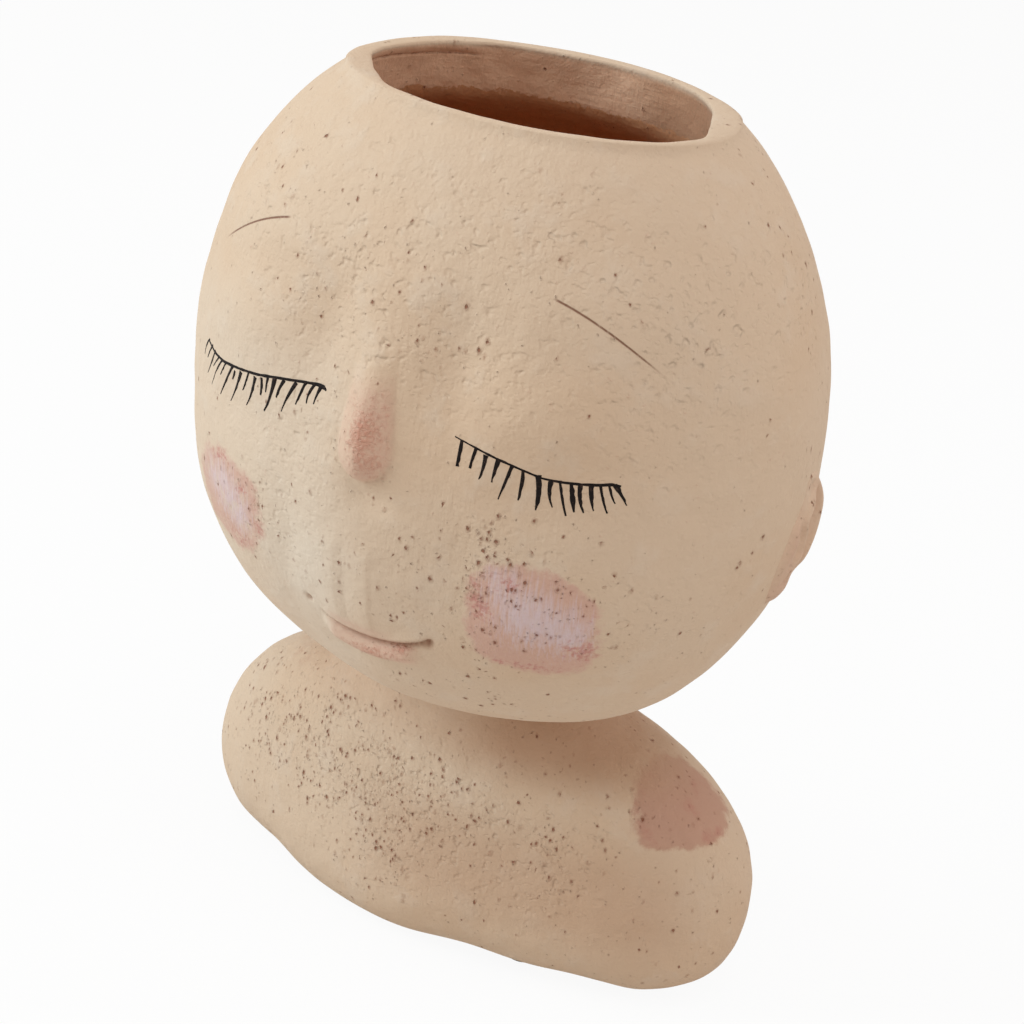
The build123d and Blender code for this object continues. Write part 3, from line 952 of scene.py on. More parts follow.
# %% The group for scattered marks
marks_group, given, result = new_group(
    "scattered_marks",
    [("Place in mm", VECTOR, None), ("Cells per mm", NUMBER, 0.5), ("Share", NUMBER, 0.5),
     ("Width", NUMBER, 0.3), ("Stretch", VECTOR, (1, 1, 1))],
    [("Core", NUMBER), ("Halo", NUMBER), ("Height", NUMBER)],
)
t = marks_group
wobble = noise_at(t, given["Place in mm"], 0.9, 3.0, 0.6, "Color")
wobble = vector_calc(t, "SUBTRACT", wobble, (0.5, 0.5, 0.5))
place = vector_calc(t, "ADD", given["Place in mm"], wobble)
place = vector_calc(t, "MULTIPLY", place, given["Stretch"])
cells = wire(t, "ShaderNodeTexVoronoi", {"Vector": place, "Scale": given["Cells per mm"]})
random = wire(t, "ShaderNodeSeparateColor", {"Color": cells.outputs["Color"]}).outputs
crowds = noise_at(t, given["Place in mm"], 0.2, 2.0)
share = times(t, given["Share"], step_up(t, crowds, 0.4, 0.58, 0.1, 1.8))
present = calc(t, "LESS_THAN", random["Red"], share)
many_small = calc(t, "MULTIPLY_ADD", calc(t, "POWER", random["Green"], 2.0), 0.55, 0.55)
size = times(t, given["Width"], many_small)
away = cells.outputs["Distance"]
core = times(t, step_up(t, away, size, times(t, size, 0.35)), present)
halo = times(t, step_up(t, away, times(t, size, 2.1), 0.0), present)
t.links.new(core, result["Core"])
t.links.new(halo, result["Halo"])
lip = times(t, times(t, halo, calc(t, "SUBTRACT", 1.0, core)), 1.3)
t.links.new(times(t, calc(t, "SUBTRACT", lip, core), size), result["Height"])
print("group", marks_group.name, "has", len(marks_group.nodes), "nodes")

# %% [markdown]
# ## Pressed dents
# Fingers and tools leave flat dents and short level wrinkles that are only seen as light and
# shade. A noise that counts only over a limit gives scattered hollows of uneven outline, and
# stretching the space first turns the same group from round dents into wrinkles.

# %% The group for dents and wrinkles
dents_group, given, result = new_group(
    "pressed_dents",
    [("Place in mm", VECTOR, None), ("Stretch", VECTOR, (1, 1, 1)), ("Per mm", NUMBER, 0.8),
     ("Limit", NUMBER, 0.56)],
    [("Height", NUMBER)],
)
t = dents_group
place = vector_calc(t, "MULTIPLY", given["Place in mm"], given["Stretch"])
pattern = noise_at(t, place, given["Per mm"], 1.0)
full = calc(t, "ADD", given["Limit"], 0.3)
deep = calc(t, "POWER", step_up(t, pattern, given["Limit"], full), 2.0)
t.links.new(times(t, deep, -1.0), result["Height"])
print("group", dents_group.name, "has", len(dents_group.nodes), "nodes")

# %% [markdown]
# ## Brush drag
# The pale coat is brushed on, so it holds fine parallel ridges. A noise that is squeezed one
# way and stretched the other gives the look of bristles, and the stretch is an input, because
# the strokes go down on the chest and round on the inside of the rim.

# %% The group for brush marks
brush_group, given, result = new_group(
    "brush_drag",
    [("Place in mm", VECTOR, None), ("Stretch", VECTOR, (1, 1, 0.1)), ("Per mm", NUMBER, 1.0)],
    [("Height", NUMBER), ("Shade", NUMBER)],
)
t = brush_group
place = vector_calc(t, "MULTIPLY", given["Place in mm"], given["Stretch"])
fine = noise_at(t, place, given["Per mm"], 3.0, 0.6)
strong = step_up(t, noise_at(t, given["Place in mm"], 0.05, 1.0), 0.4, 0.62)
t.links.new(times(t, calc(t, "SUBTRACT", fine, 0.5), strong), result["Height"])
t.links.new(fine, result["Shade"])
print("group", brush_group.name, "has", len(brush_group.nodes), "nodes")

# %% [markdown]
# ## The mottled coat
# Hand-mixed paint dries in slightly different tones, warm where it is thin over the brown clay
# and cooler where it is thick. A group mixes three tones by two sizes of noise, so that the
# head, bust and ears share one skin of paint.

# %% The group for the coat's colour
coat_group, given, result = new_group(
    "mottled_coat",
    [("Place in mm", VECTOR, None)]
    + [(name, COLOUR, (1, 1, 1, 1)) for name in ("Plain", "Warm", "Cool")],
    [("Colour", COLOUR), ("Height", NUMBER)],
)
t = coat_group
broad = noise_at(t, given["Place in mm"], 0.022, 3.0)
middle = noise_at(t, given["Place in mm"], 0.11, 4.0, 0.62)
grain = noise_at(t, given["Place in mm"], 1.7, 4.0, 0.7)
colour = mix_colours(t, step_up(t, broad, 0.42, 0.66), given["Plain"], given["Warm"])
colour = mix_colours(t, times(t, step_up(t, middle, 0.5, 0.7), 0.6), colour, given["Cool"])
t.links.new(colour, result["Colour"])
uneven = times(t, calc(t, "SUBTRACT", middle, 0.5), 0.9)
grain = calc(t, "SUBTRACT", grain, 0.5)
t.links.new(calc(t, "MULTIPLY_ADD", grain, 0.07, uneven), result["Height"])
print("group", coat_group.name, "has", len(coat_group.nodes), "nodes")

# %% [markdown]
# ## The painted clay
# The head, bust and ears are fired clay under a pale matte coat. Brown clay shows in the
# pinholes, on the scratched brows and inside, where the coat stops in a ragged edge a finger's
# width below the rim. The brown of the mouth line is partly clay and partly painted shade in the
# pressed line. Blush is dabbed on the cheeks in reds and dragged over with lilac white, and the
# nose and lips are a thin terracotta pink. Painted shade also darkens the creases under the jaw,
# the lower chest, the far shoulder and the ears' hollows, and a painted highlight pales the left
# of the lower face.

# %% The clay's colours
coat_plain = screen_colour(215, 188, 161)
coat_warm = screen_colour(213, 183, 154)
coat_cool = screen_colour(217, 193, 169)
# The paler tone is a painted highlight.
painted_highlight_tone = screen_colour(226, 209, 189)
clay_brown = screen_colour(138, 80, 52)
raw_clay = screen_colour(222, 168, 126)
lining_tone = screen_colour(236, 190, 154)
# The darker lining tone is painted shade for the right side of the inside.
lining_shade_tone = screen_colour(192, 147, 115)
blush_tone = screen_colour(208, 165, 146)
blush_red_tone = screen_colour(190, 122, 112)
blush_lilac = screen_colour(218, 196, 199)
nose_tone = screen_colour(213, 174, 151)
terracotta_tone = screen_colour(202, 141, 117)
smear_tone = screen_colour(187, 141, 120)
smear_red_tone = screen_colour(184, 122, 108)
# The next tone is painted shade for the creases under the jaw, the lower chest, the far shoulder
# and the ears' hollows.
painted_shade_tone = screen_colour(190, 153, 124)
brow_tone = screen_colour(118, 66, 44)
lining_pale = screen_colour(240, 200, 168)
fold_tone = screen_colour(130, 72, 54)
raw_clay_dark = screen_colour(208, 150, 106)
print("plain coat, linear:", [round(c, 3) for c in coat_plain[:3]])


# %% Scratched brows as a line in space
brow_inner_x, brow_middle_x, brow_inner_height = 29.0, 38.5, 41.1
brow_slope, brow_bend = -0.41, -0.0147


def brow_mask(tree, x, height):
    """1 on two thin curved scratches over the eyes, from the place in millimetres."""
    out = calc(tree, "ABSOLUTE", x)
    first = calc(tree, "SUBTRACT", out, brow_inner_x)
    second = calc(tree, "SUBTRACT", out, brow_middle_x)
    curve = times(tree, times(tree, first, second), brow_bend)
    line = calc(tree, "MULTIPLY_ADD", first, brow_slope, brow_inner_height)
    curve = calc(tree, "ADD", curve, line)
    off = calc(tree, "ABSOLUTE", calc(tree, "SUBTRACT", height, curve))
    ends = times(tree, step_up(tree, out, 28.8, 30.4), step_up(tree, out, 50.2, 45.0))
    return times(tree, step_up(tree, off, 0.3, 0.06), ends)


brow_drop = brow_slope * (brow_middle_x - brow_inner_x)
print("a brow's middle lies", round(brow_inner_height + brow_drop, 1), "mm over the widest level")


# %% The painted clay material
def mask_value(tree, name):
    """Reads one of the masks stored on the mesh."""
    return wire(tree, "ShaderNodeAttribute", attribute_name=name).outputs["Fac"]


def broken(tree, mask, noise_value, amount=0.35, low=0.35, high=0.62):
    """A mask with its soft edge broken up by noise."""
    rough = calc(tree, "MULTIPLY_ADD", calc(tree, "SUBTRACT", noise_value, 0.5), amount, mask)
    return step_up(tree, rough, low, high)


clay, t, shader = new_material("painted_clay_coat")
shader.inputs["Specular IOR Level"].default_value = 0.3
place = place_in_mm(t)
axis = wire(t, "ShaderNodeSeparateXYZ", {0: place}).outputs
coat = use_group(t, coat_group, {
    "Place in mm": place, "Plain": coat_plain, "Warm": coat_warm, "Cool": coat_cool})
brush_down, brush_round = [
    use_group(t, brush_group, {"Place in mm": place, "Stretch": stretch, "Per mm": per_mm})
    for stretch, per_mm in (((1, 1, 0.08), 1.3), ((0.1, 0.1, 1), 1.1))
]
dab = noise_at(t, place, 0.32, 5.0, 0.7)
dust = noise_at(t, place, 1.1, 3.0, 0.6)
pitted = mask_value(t, "pinholes")
pinholes = use_group(t, marks_group, {
    "Place in mm": place, "Cells per mm": 0.75, "Share": pitted, "Width": 0.33,
    "Stretch": (1, 1, 0.72)})
specks = use_group(t, marks_group, {
    "Place in mm": place, "Cells per mm": 1.4, "Share": calc(t, "MULTIPLY_ADD", pitted, 0.6, 0.02),
    "Width": 0.32, "Stretch": (1, 1, 0.8)})
dents = use_group(t, dents_group, {
    "Place in mm": place, "Stretch": (1, 1, 1.15), "Per mm": 0.46, "Limit": 0.49})["Height"]
wrinkles = use_group(t, dents_group, {
    "Place in mm": place, "Stretch": (0.75, 0.75, 1.0), "Per mm": 1.0, "Limit": 0.46})["Height"]
print("clay's first nodes:", len(t.nodes))

# %% Colour over the coat
# Painted highlight: a paler coat on the left of the lower face.
colour = mix_colours(t, mask_value(t, "painted_highlight"), coat["Colour"], painted_highlight_tone)
blush = broken(t, mask_value(t, "blush"), dab, 1.2, 0.35, 0.8)
bristles = noise_at(t, vector_calc(t, "MULTIPLY", place, (2.4, 1.1, 0.1)), 1.0, 4.0, 0.65)
white = broken(t, mask_value(t, "blush_white"), bristles, 2.2, 0.2, 1.2)
spots = calc(t, "MULTIPLY_ADD", dust, 0.6, times(t, dab, 0.4))
red = broken(t, mask_value(t, "blush_red"), spots, 3.0, 0.35, 0.9)
cheek_colour = mix_colours(t, times(t, white, 0.85), blush_tone, blush_lilac)
cheek_colour = mix_colours(t, times(t, red, 0.72), cheek_colour, blush_red_tone)
smear = broken(t, mask_value(t, "smear"), dab, 1.3, 0.3, 0.8)
smear_red = broken(t, mask_value(t, "smear_red"), dab, 1.8, 0.3, 1.1)
varnish = broken(t, mask_value(t, "terracotta"), spots, 2.2, 0.15, 1.0)
t.links.new(calc(t, "MULTIPLY_ADD", varnish, -0.36, 0.78), shader.inputs["Roughness"])
height_over = calc(t, "SUBTRACT", axis["Z"], float(head_centre_z))
brow = times(t, brow_mask(t, axis["X"], height_over), step_up(t, axis["Y"], -5.0, -10.0))
brow = times(t, brow, step_up(t, dust, 0.2, 0.5, 0.45, 1.0))
# The layers in the order they go on, each with its cover and its tone. The fourth layer is painted
# shade, and the mouth's brown is partly painted shade.
for cover, tone in (
    (times(t, blush, step_up(t, dust, 0.2, 0.6, 0.7, 0.95)), cheek_colour),
    (times(t, smear, 0.85), smear_tone),
    (times(t, smear_red, 0.7), smear_red_tone),
    # Painted shade: darker under the jaw, on the lower chest, on the far shoulder and in the ears'
    # hollows.
    (mask_value(t, "painted_shade"), painted_shade_tone),
    (times(t, mask_value(t, "pink"), step_up(t, dust, 0.25, 0.6, 0.6, 0.95)), nose_tone),
    (times(t, varnish, 0.85), terracotta_tone),
    # The mouth's brown is partly bare clay and partly painted shade in its pressed line.
    (times(t, mask_value(t, "mouth_brown_and_shade"), 0.75), clay_brown),
    (times(t, brow, 0.85), brow_tone),
):
    colour = mix_colours(t, cover, colour, tone)
print("clay's nodes with paint:", len(t.nodes))

# %% Bare clay inside and in the pits
lining_depth = 11.0
inside = mask_value(t, "inside")
below_rim = calc(t, "SUBTRACT", float(head_rim_z), axis["Z"])
ragged = calc(t, "MULTIPLY_ADD", calc(t, "SUBTRACT", dab, 0.5), 5.0, below_rim)
bare = times(t, step_up(t, ragged, lining_depth, lining_depth + 0.6), inside)
lined = times(t, step_up(t, below_rim, 0.6, 2.2), inside)
lining = mix_colours(t, brush_round["Shade"], lining_tone, lining_pale)
# Painted shade: the lining is darker on the right side of the inside.
right_side_shade = times(t, step_up(t, axis["X"], 2.0, 14.0), step_up(t, axis["X"], 37.0, 25.0, 0.15))
lining = mix_colours(t, right_side_shade, lining, lining_shade_tone)
colour = mix_colours(t, lined, colour, lining)
fold = times(t, mask_value(t, "rolled"), step_up(t, dab, 0.42, 0.6, 0.1, 0.8))
colour = mix_colours(t, fold, colour, fold_tone)
bare = calc(t, "MAXIMUM", bare, mask_value(t, "raw"))
colour = mix_colours(t, bare, colour, mix_colours(t, dab, raw_clay, raw_clay_dark))
# The dark halo round each pinhole is partly a brown stain and partly painted shade of its dent.
for mark, strength in ((specks["Core"], 0.35), (pinholes["Halo"], 0.52), (pinholes["Core"], 0.75)):
    colour = mix_colours(t, times(t, mark, strength), colour, clay_brown)
t.links.new(colour, shader.inputs["Base Color"])
print("clay's nodes with bare clay:", len(t.nodes))

# %% The bump, in millimetres
relief = coat["Height"]
pressed = mask_value(t, "dents")
for part, amount in (
    (pinholes["Height"], 0.5), (specks["Height"], 0.4), (times(t, dents, pressed), 0.4),
    (times(t, wrinkles, pressed), 0.12), (brush_down["Height"], 0.14),
    (times(t, brush_round["Height"], inside), 0.12), (brow, -0.15),
    (times(t, bristles, blush), 0.08), (times(t, dust, varnish), 0.4),
):
    relief = calc(t, "MULTIPLY_ADD", part, amount, relief)
t.links.new(bump_map(t, relief, mm), shader.inputs["Normal"])
for thing in (head_skin, bust_skin, ear_left_skin, ear_right_skin):
    thing.data.materials.append(clay)
print("painted clay has", len(t.nodes), "nodes")

# %% [markdown]
# ## Lashes and lid lines
# The closed eyes are one long ink line each, with short hooked lashes hanging from it. Each
# stroke is a row of points with a width, so it is drawn once as a plain polyline in front of
# the face. A Geometry Nodes tree shoots each point back onto the sculpted skin, turns the line
# to the skin's direction and sweeps a flat oval along it, so that the ink lies on the clay
# like paint, whatever the lids do underneath.

# %% The ink
ink, t, shader = new_material("lash_ink")
shader.inputs["Roughness"].default_value = 0.6
shader.inputs["Specular IOR Level"].default_value = 0.12
dry = noise_at(t, place_in_mm(t), 1.6, 4.0, 0.7)
wet_ink, dry_ink = screen_colour(22, 15, 13), screen_colour(74, 55, 46)
ink_colour = mix_colours(t, step_up(t, dry, 0.52, 0.75), wet_ink, dry_ink)
t.links.new(ink_colour, shader.inputs["Base Color"])
t.links.new(bump_map(t, dry, 0.1 * mm), shader.inputs["Normal"])
print("ink nodes:", len(t.nodes))


# %% The tree that lays strokes on the skin
def stroke_tree():
    """Sweeps polylines into flat strokes that lie on a skin."""
    tree = bpy.data.node_groups.new("strokes_on_skin", "GeometryNodeTree")
    for label, kind in (
        ("Strokes", "NodeSocketGeometry"), ("Skin", "NodeSocketObject"), ("Middle", VECTOR),
        ("Lift", NUMBER), ("Spacing", NUMBER), ("Flatness", NUMBER), ("Ink", "NodeSocketMaterial"),
    ):
        tree.interface.new_socket(label, in_out="INPUT", socket_type=kind)
    tree.interface.new_socket("Strokes", in_out="OUTPUT", socket_type="NodeSocketGeometry")
    given = tree.nodes.new("NodeGroupInput").outputs
    lines = wire(tree, "GeometryNodeMeshToCurve", {"Mesh": given["Strokes"]}).outputs[0]
    spacing = {"Curve": lines, "Length": given["Spacing"]}
    lines = wire(tree, "GeometryNodeResampleCurve", spacing, mode="LENGTH").outputs[0]
    skin = wire(tree, "GeometryNodeObjectInfo", {"Object": given["Skin"]}).outputs["Geometry"]
    spot = wire(tree, "GeometryNodeInputPosition").outputs[0]
    outward = vector_calc(tree, "NORMALIZE", vector_calc(tree, "SUBTRACT", spot, given["Middle"]))
    start = vector_calc(tree, "ADD", spot, vector_calc(tree, "SCALE", outward, 0.02))
    inward = vector_calc(tree, "SCALE", outward, -1.0)
    hit = wire(tree, "GeometryNodeRaycast", {
        "Target Geometry": skin, "Source Position": start, "Ray Direction": inward,
        "Ray Length": 0.05}).outputs
    lift = vector_calc(tree, "SCALE", hit["Hit Normal"], given["Lift"])
    target = vector_calc(tree, "ADD", hit["Hit Position"], lift)
    laid = {"Geometry": lines, "Position": target}
    lines = wire(tree, "GeometryNodeSetPosition", laid).outputs[0]
    turned = {"Curve": lines, "Normal": hit["Hit Normal"]}
    lines = wire(tree, "GeometryNodeSetCurveNormal", turned, mode="FREE").outputs[0]
    stored = {"Name": "half_width"}
    width = wire(tree, "GeometryNodeInputNamedAttribute", stored, data_type="FLOAT").outputs[0]
    ten_sided = {"Resolution": 10, "Radius": 1.0}
    oval = wire(tree, "GeometryNodeCurvePrimitiveCircle", ten_sided).outputs[0]
    flat = wire(tree, "ShaderNodeCombineXYZ", {0: given["Flatness"], 1: 1.0, 2: 1.0}).outputs[0]
    oval = wire(tree, "GeometryNodeTransform", {"Geometry": oval, "Scale": flat}).outputs[0]
    strokes = wire(tree, "GeometryNodeCurveToMesh", {
        "Curve": lines, "Profile Curve": oval, "Scale": width, "Fill Caps": True}).outputs[0]
    strokes = wire(tree, "GeometryNodeSetShadeSmooth", {"Geometry": strokes}).outputs[0]
    strokes = wire(tree, "GeometryNodeRealizeInstances", {"Geometry": strokes}).outputs[0]
    inked = {"Geometry": strokes, "Material": given["Ink"]}
    strokes = wire(tree, "GeometryNodeSetMaterial", inked).outputs[0]
    tree.links.new(strokes, tree.nodes.new("NodeGroupOutput").inputs[0])
    return tree


strokes_on_skin = stroke_tree()
print("tree", strokes_on_skin.name, "has", len(strokes_on_skin.nodes), "nodes")


# %% Give an object the tree
def run_tree(thing, tree, values):
    """Gives an object the tree with its inputs, and keeps the result as a plain mesh."""
    modifier = thing.modifiers.new(tree.name, "NODES")
    modifier.node_group = tree
    for item in tree.interface.items_tree:
        if item.item_type == "SOCKET" and item.in_out == "INPUT" and item.name in values:
            modifier[item.identifier] = values[item.name]
    thing.update_tag()
    bpy.context.view_layer.update()
    seen = thing.evaluated_get(bpy.context.evaluated_depsgraph_get())
    result = bpy.data.meshes.new_from_object(seen)
    thing.modifiers.clear()
    thing.data = result


# %% A bent line from a few points
def smooth_line(points, count=9):
    """Points on a bent line through three or more places, widths included."""
    points = np.array(points, dtype=float)
    step = np.linalg.norm(np.diff(points[:, :2], axis=0), axis=1)
    place = np.concatenate([[0], np.cumsum(step)])
    if len(points) == 3:
        share = place[1] / place[2]
        middle = points[1] - (1 - share) ** 2 * points[0] - share**2 * points[2]
        middle = middle / (2 * share * (1 - share))
        s = np.linspace(0, 1, count)[:, None]
        line = (1 - s) ** 2 * points[0] + 2 * s * (1 - s) * middle + s**2 * points[2]
        line[:, 2] = np.interp(s[:, 0] * place[2], place, points[:, 2])
        return line
    wanted = np.linspace(0, place[-1], 4 * len(points))
    return np.stack([np.interp(wanted, place, points[:, k]) for k in range(3)], axis=1)


print("points of a hooked lash:", len(smooth_line([(0, 0, 1), (0, -2, 1), (1, -4, 1)])))


# %% Draw strokes on the head
def draw_strokes(name, lines):
    """Strokes on the head from lines of (sideways, height, half width) in millimetres."""
    points, edges, widths = [], [], []
    for line in lines:
        line = np.array(line, dtype=float)
        if len(line) == 3:
            step = line[0, :2] - line[1, :2]
            line[0, :2] += 0.55 * step / np.linalg.norm(step)
        first = len(points)
        for sideways, up, half in smooth_line(line):
            shake = noise.noise(Vector((sideways * 1.3, up * 1.3, 4.0)))
            points.append((face_point(sideways + 0.1 * shake, up) * mm).tolist())
            widths.append(max(half * (1.08 + 0.45 * shake), 0.04) * mm)
        edges += [(k, k + 1) for k in range(first, len(points) - 1)]
    mesh = bpy.data.meshes.new(name)
    mesh.from_pydata(points, edges, [])
    layer = mesh.attributes.new("half_width", "FLOAT", "POINT")
    layer.data.foreach_set("value", np.array(widths, dtype=np.float32))
    thing = add_object(name, mesh)
    middle = (0.0, float(head_centre_y * mm), float(head_centre_z * mm))
    run_tree(thing, strokes_on_skin, {
        "Skin": head_skin, "Middle": middle, "Lift": 0.00001, "Spacing": 0.0003,
        "Flatness": 0.16, "Ink": ink})
    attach(thing, "planter")
    print(name, "has", len(thing.data.polygons), "faces from", len(lines), "strokes")


# %% The strokes of the two closed eyes
# The first row of each eye is the lid line and the others are lashes. Each point is a place
# sideways, a height over the head's widest level and half a width, in millimetres.
left_eye_strokes = [
    [(16.6, 11.7, 0.12), (20.9, 10.6, 0.2), (25.4, 9.4, 0.24), (29.8, 8.3, 0.24),
     (33.7, 7.3, 0.24), (37.3, 7.1, 0.26), (40.4, 7.2, 0.26), (43.5, 7.5, 0.3),
     (45.5, 7.9, 0.34), (47.0, 7.7, 0.2)],
    [(18.1, 10.9, 0.36), (18.0, 8.4, 0.34), (17.9, 5.9, 0.3)],
    [(21.0, 10.2, 0.34), (20.7, 8.4, 0.3), (20.4, 6.2, 0.24)],
    [(23.0, 9.1, 0.46), (22.9, 6.8, 0.3), (22.4, 4.4, 0.12)],
    [(25.5, 9.0, 0.55), (25.1, 6.6, 0.3), (24.9, 4.4, 0.15)],
    [(28.0, 8.1, 0.38), (27.2, 4.2, 0.26), (26.5, 1.1, 0.1)],
    [(30.2, 7.7, 0.3), (30.4, 4.2, 0.42), (30.2, 1.7, 0.14)],
    [(33.0, 7.3, 0.55), (33.7, 2.4, 0.42), (33.6, 0.3, 0.13)],
    [(35.4, 6.8, 0.5), (35.6, 3.8, 0.3), (36.4, 1.5, 0.1)],
    [(37.0, 6.9, 0.28), (37.9, 3.5, 0.26), (38.9, 0.2, 0.16)],
    [(39.0, 6.6, 0.38), (39.6, 3.8, 0.5), (40.2, 1.2, 0.16)],
    [(40.5, 6.6, 0.46), (40.9, 3.7, 0.34), (41.8, 1.3, 0.13)],
    [(42.3, 6.9, 0.55), (42.7, 4.3, 0.34), (43.4, 2.0, 0.13)],
    [(43.8, 7.1, 0.28), (44.7, 4.2, 0.26), (45.6, 1.8, 0.14)],
    [(45.3, 7.1, 0.24), (45.9, 5.4, 0.22), (46.6, 4.0, 0.12)],
    [(46.3, 7.4, 0.5), (47.4, 5.8, 0.3), (48.5, 3.8, 0.12)],
]
right_eye_strokes = [
    [(-49.7, 7.9, 0.2), (-46.3, 6.8, 0.3), (-42.2, 6.7, 0.3), (-36.9, 7.6, 0.3),
     (-30.9, 8.8, 0.3), (-25.5, 10.3, 0.28), (-19.4, 11.8, 0.28), (-15.6, 12.6, 0.32),
     (-13.9, 12.5, 0.4), (-13.2, 12.1, 0.2)],
    [(-49.5, 7.9, 0.22), (-50.7, 6.4, 0.2), (-51.4, 4.0, 0.14)],
    [(-47.8, 7.4, 0.28), (-49.1, 5.5, 0.24), (-49.9, 4.0, 0.14)],
    [(-46.3, 6.8, 0.3), (-47.5, 4.6, 0.26), (-49.5, 0.8, 0.1)],
    [(-44.4, 6.6, 0.22), (-45.9, 4.8, 0.18), (-46.9, 3.6, 0.1)],
    [(-43.1, 6.4, 0.26), (-45.2, 3.5, 0.2), (-47.1, -0.6, 0.08)],
    [(-41.6, 6.5, 0.26), (-42.6, 4.9, 0.22), (-43.5, 3.3, 0.12)],
    [(-39.2, 6.8, 0.42), (-40.9, 3.9, 0.3), (-43.1, -0.8, 0.12)],
    [(-38.4, 6.0, 0.32), (-38.7, 5.2, 0.28), (-39.1, 4.3, 0.2)],
    [(-36.3, 6.7, 0.46), (-37.6, 3.4, 0.3), (-39.4, -0.6, 0.1)],
    [(-33.8, 7.6, 0.3), (-34.6, 5.5, 0.26), (-35.5, 3.5, 0.14)],
    [(-31.7, 7.5, 0.5), (-32.6, 4.3, 0.32), (-34.2, 0.8, 0.12)],
    [(-29.7, 8.1, 0.36), (-29.7, 6.3, 0.34), (-30.0, 4.8, 0.2)],
    [(-28.0, 9.2, 0.3), (-28.3, 7.3, 0.26), (-28.5, 6.0, 0.14)],
    [(-26.2, 9.5, 0.56), (-27.0, 6.0, 0.38), (-28.9, 1.8, 0.16)],
    [(-23.9, 10.0, 0.4), (-24.7, 8.2, 0.32), (-25.4, 6.1, 0.2)],
    [(-21.0, 10.6, 0.46), (-22.1, 8.2, 0.3), (-23.8, 3.7, 0.12)],
    [(-18.8, 11.4, 0.38), (-19.5, 9.0, 0.28), (-20.2, 6.6, 0.16)],
    [(-16.4, 12.1, 0.38), (-17.4, 10.0, 0.28), (-17.6, 7.8, 0.14)],
    [(-15.0, 11.8, 0.38), (-15.4, 10.3, 0.26), (-15.8, 8.3, 0.12)],
]
draw_strokes("lashes_left", left_eye_strokes)
draw_strokes("lashes_right", right_eye_strokes)

# %% [markdown]
# ## Rubber and plastic under the planter
# The stopper, the net over the drain and the four pads are bought parts, so their CAD shapes
# are right as they are. They only need a surface: dull moulded rubber with a fine grain and a
# little dust, and a slightly shinier plastic net.


# %% Rubber and plastic surfaces
def moulded(name, tone, dusty, roughness, grain_per_mm, depth):
    """A moulded black or grey surface with grain and dust."""
    material, tree, surface = new_material(name)
    surface.inputs["Roughness"].default_value = roughness
    spot = place_in_mm(tree)
    dust = step_up(tree, noise_at(tree, spot, 0.25, 5.0, 0.7), 0.45, 0.75)
    grain = noise_at(tree, spot, grain_per_mm, 2.0)
    tree.links.new(mix_colours(tree, dust, tone, dusty), surface.inputs["Base Color"])
    tree.links.new(bump_map(tree, grain, depth * mm), surface.inputs["Normal"])
    return material


surfaces = {}
for start, name, tone, dusty, roughness, grain_per_mm, depth in (
    ("drain_plug", "plug_rubber_grain", (38, 37, 36), (72, 66, 60), 0.62, 3.0, 0.05),
    ("drain_mesh", "mesh_plastic_grain", (44, 43, 42), (86, 70, 58), 0.45, 2.0, 0.03),
    ("foot", "foot_rubber_grain", (92, 88, 84), (120, 112, 104), 0.7, 3.5, 0.05),
):
    tones = screen_colour(*tone), screen_colour(*dusty)
    surfaces[start] = moulded(name, *tones, roughness, grain_per_mm, depth)
for node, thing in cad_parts.items():
    for start, surface in surfaces.items():
        if node.startswith(start):
            thing.data.materials.clear()
            thing.data.materials.append(surface)
            print(node, "is", surface.name)

# %% [markdown]
# ## Floor, light and camera
# A plain studio: a pale floor that keeps a faint shadow, an even pale sky for soft light, and
# four large lamps: one from the left, one from over the crown and two weak ones from the right
# and behind. The floor and sky look white to the camera only, by the Light Path node, so that
# the clay itself isn't lit any brighter.

# %% The floor
floor_mesh = bpy.data.meshes.new("studio_floor")
floor_half = 4.0
corner_signs = ((-1, -1), (1, -1), (1, 1), (-1, 1))
floor_corners = [(x * floor_half, y * floor_half, 0) for x, y in corner_signs]
floor_mesh.from_pydata(floor_corners, [], [(0, 1, 2, 3)])
floor = add_object("studio_floor", floor_mesh)
paper, t, shader = new_material("studio_paper")
shader.inputs["Base Color"].default_value = screen_colour(232, 230, 227)
shader.inputs["Roughness"].default_value = 0.9
white = wire(t, "ShaderNodeEmission", {"Color": (1, 1, 1, 1), "Strength": 1.0}).outputs[0]
seen = wire(t, "ShaderNodeLightPath").outputs["Is Camera Ray"]
share = times(t, seen, 0.93)
mixed = wire(t, "ShaderNodeMixShader", {0: share, 1: shader.outputs[0], 2: white}).outputs[0]
t.links.new(mixed, t.nodes["Material Output"].inputs["Surface"])
floor_mesh.materials.append(paper)
print("floor is", 2 * floor_half, "m wide")

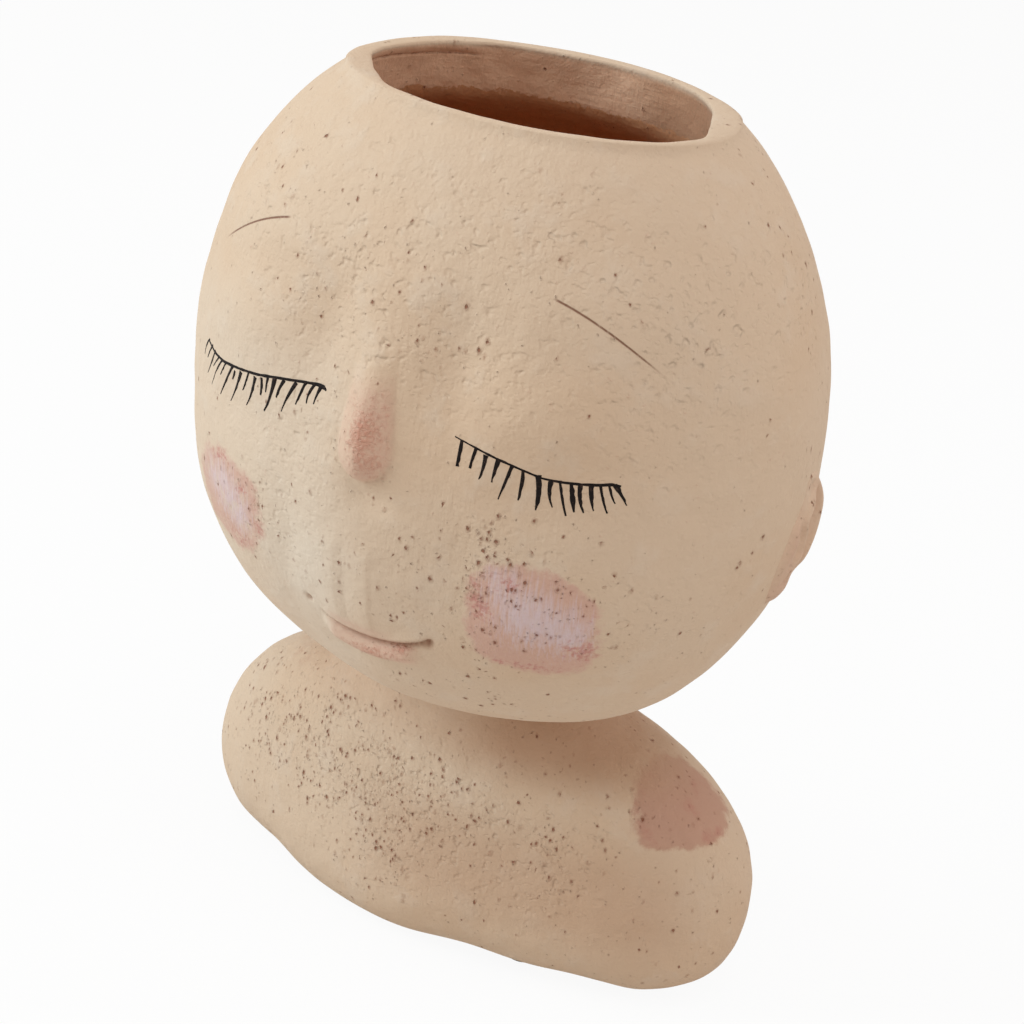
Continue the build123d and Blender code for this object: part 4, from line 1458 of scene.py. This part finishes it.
# %% The sky and the lamps
world = bpy.data.worlds.new("studio_sky")
bpy.context.scene.world = world
world.use_nodes = True
t = world.node_tree
t.nodes.clear()
path = wire(t, "ShaderNodeLightPath").outputs
mirrored = calc(t, "MAXIMUM", path["Is Glossy Ray"], path["Is Transmission Ray"])
direct = calc(t, "MAXIMUM", path["Is Camera Ray"], mirrored)
sky = wire(t, "ShaderNodeBackground", {"Color": (1.0, 0.92, 0.86, 1), "Strength": 0.43}).outputs[0]
backdrop = wire(t, "ShaderNodeBackground", {"Color": (1, 1, 1, 1), "Strength": 1.0}).outputs[0]
both = wire(t, "ShaderNodeMixShader", {0: direct, 1: sky, 2: backdrop}).outputs[0]
t.links.new(both, wire(t, "ShaderNodeOutputWorld").inputs["Surface"])


def direction(azimuth, elevation):
    """The way from the planter to a lamp or camera. Azimuth 0 is in front of the face."""
    a, e = math.radians(azimuth), math.radians(elevation)
    return Vector((math.sin(a) * math.cos(e), -math.cos(a) * math.cos(e), math.sin(e)))


lamp_aim, lamp_distance, lamp_size = Vector((0, 0, 0.11)), 1.3, 0.7
for name, azimuth, elevation, watts, tint in (
    ("key_lamp", -62, 25, 11.2, (0.76, 0.91, 1.0)),
    ("top_lamp", 25, 66, 5.0, (0.92, 0.97, 1.0)),
    ("side_lamp", 100, 22, 2.6, (0.92, 0.96, 1.0)),
    ("edge_lamp", 150, 35, 1.8, (0.92, 0.97, 1.0)),
):
    light = bpy.data.lights.new(name, "AREA")
    light.energy, light.size, light.color = watts, lamp_size, tint
    lamp = add_object(name, light)
    lamp.location = lamp_aim + direction(azimuth, elevation) * lamp_distance
    lamp.rotation_euler = direction(azimuth, elevation).to_track_quat("Z", "Y").to_euler()
    print(name, "gives", watts, "watts")
bpy.context.scene.view_settings.view_transform = "Standard"

# %% The camera at the photograph's angle
camera_azimuth, camera_elevation, roll = 25.42, 24.78, math.radians(8.37)
back = direction(camera_azimuth, camera_elevation)
side = direction(camera_azimuth + 90, 0)
up = side.cross(-back)
right_hand = side * math.cos(roll) + up * math.sin(roll)
overhead = up * math.cos(roll) - side * math.sin(roll)
camera_place = Vector((0, 12.15, 102.2)) - side * 0.9 + up * 0.45 + back * 494.5
photo_width, focal_pixels = 1024, 2200.65
camera_data = bpy.data.cameras.new("camera")
camera_data.sensor_width = 36.0
camera_data.lens = camera_data.sensor_width * focal_pixels / photo_width
camera_data.clip_start, camera_data.clip_end = 0.02, 30.0
camera = add_object("camera", camera_data)
turned = Matrix((right_hand, overhead, back)).transposed().to_4x4()
camera.matrix_world = Matrix.Translation(camera_place * mm) @ turned
bpy.context.scene.camera = camera
print("lens:", round(camera_data.lens, 2), "mm")
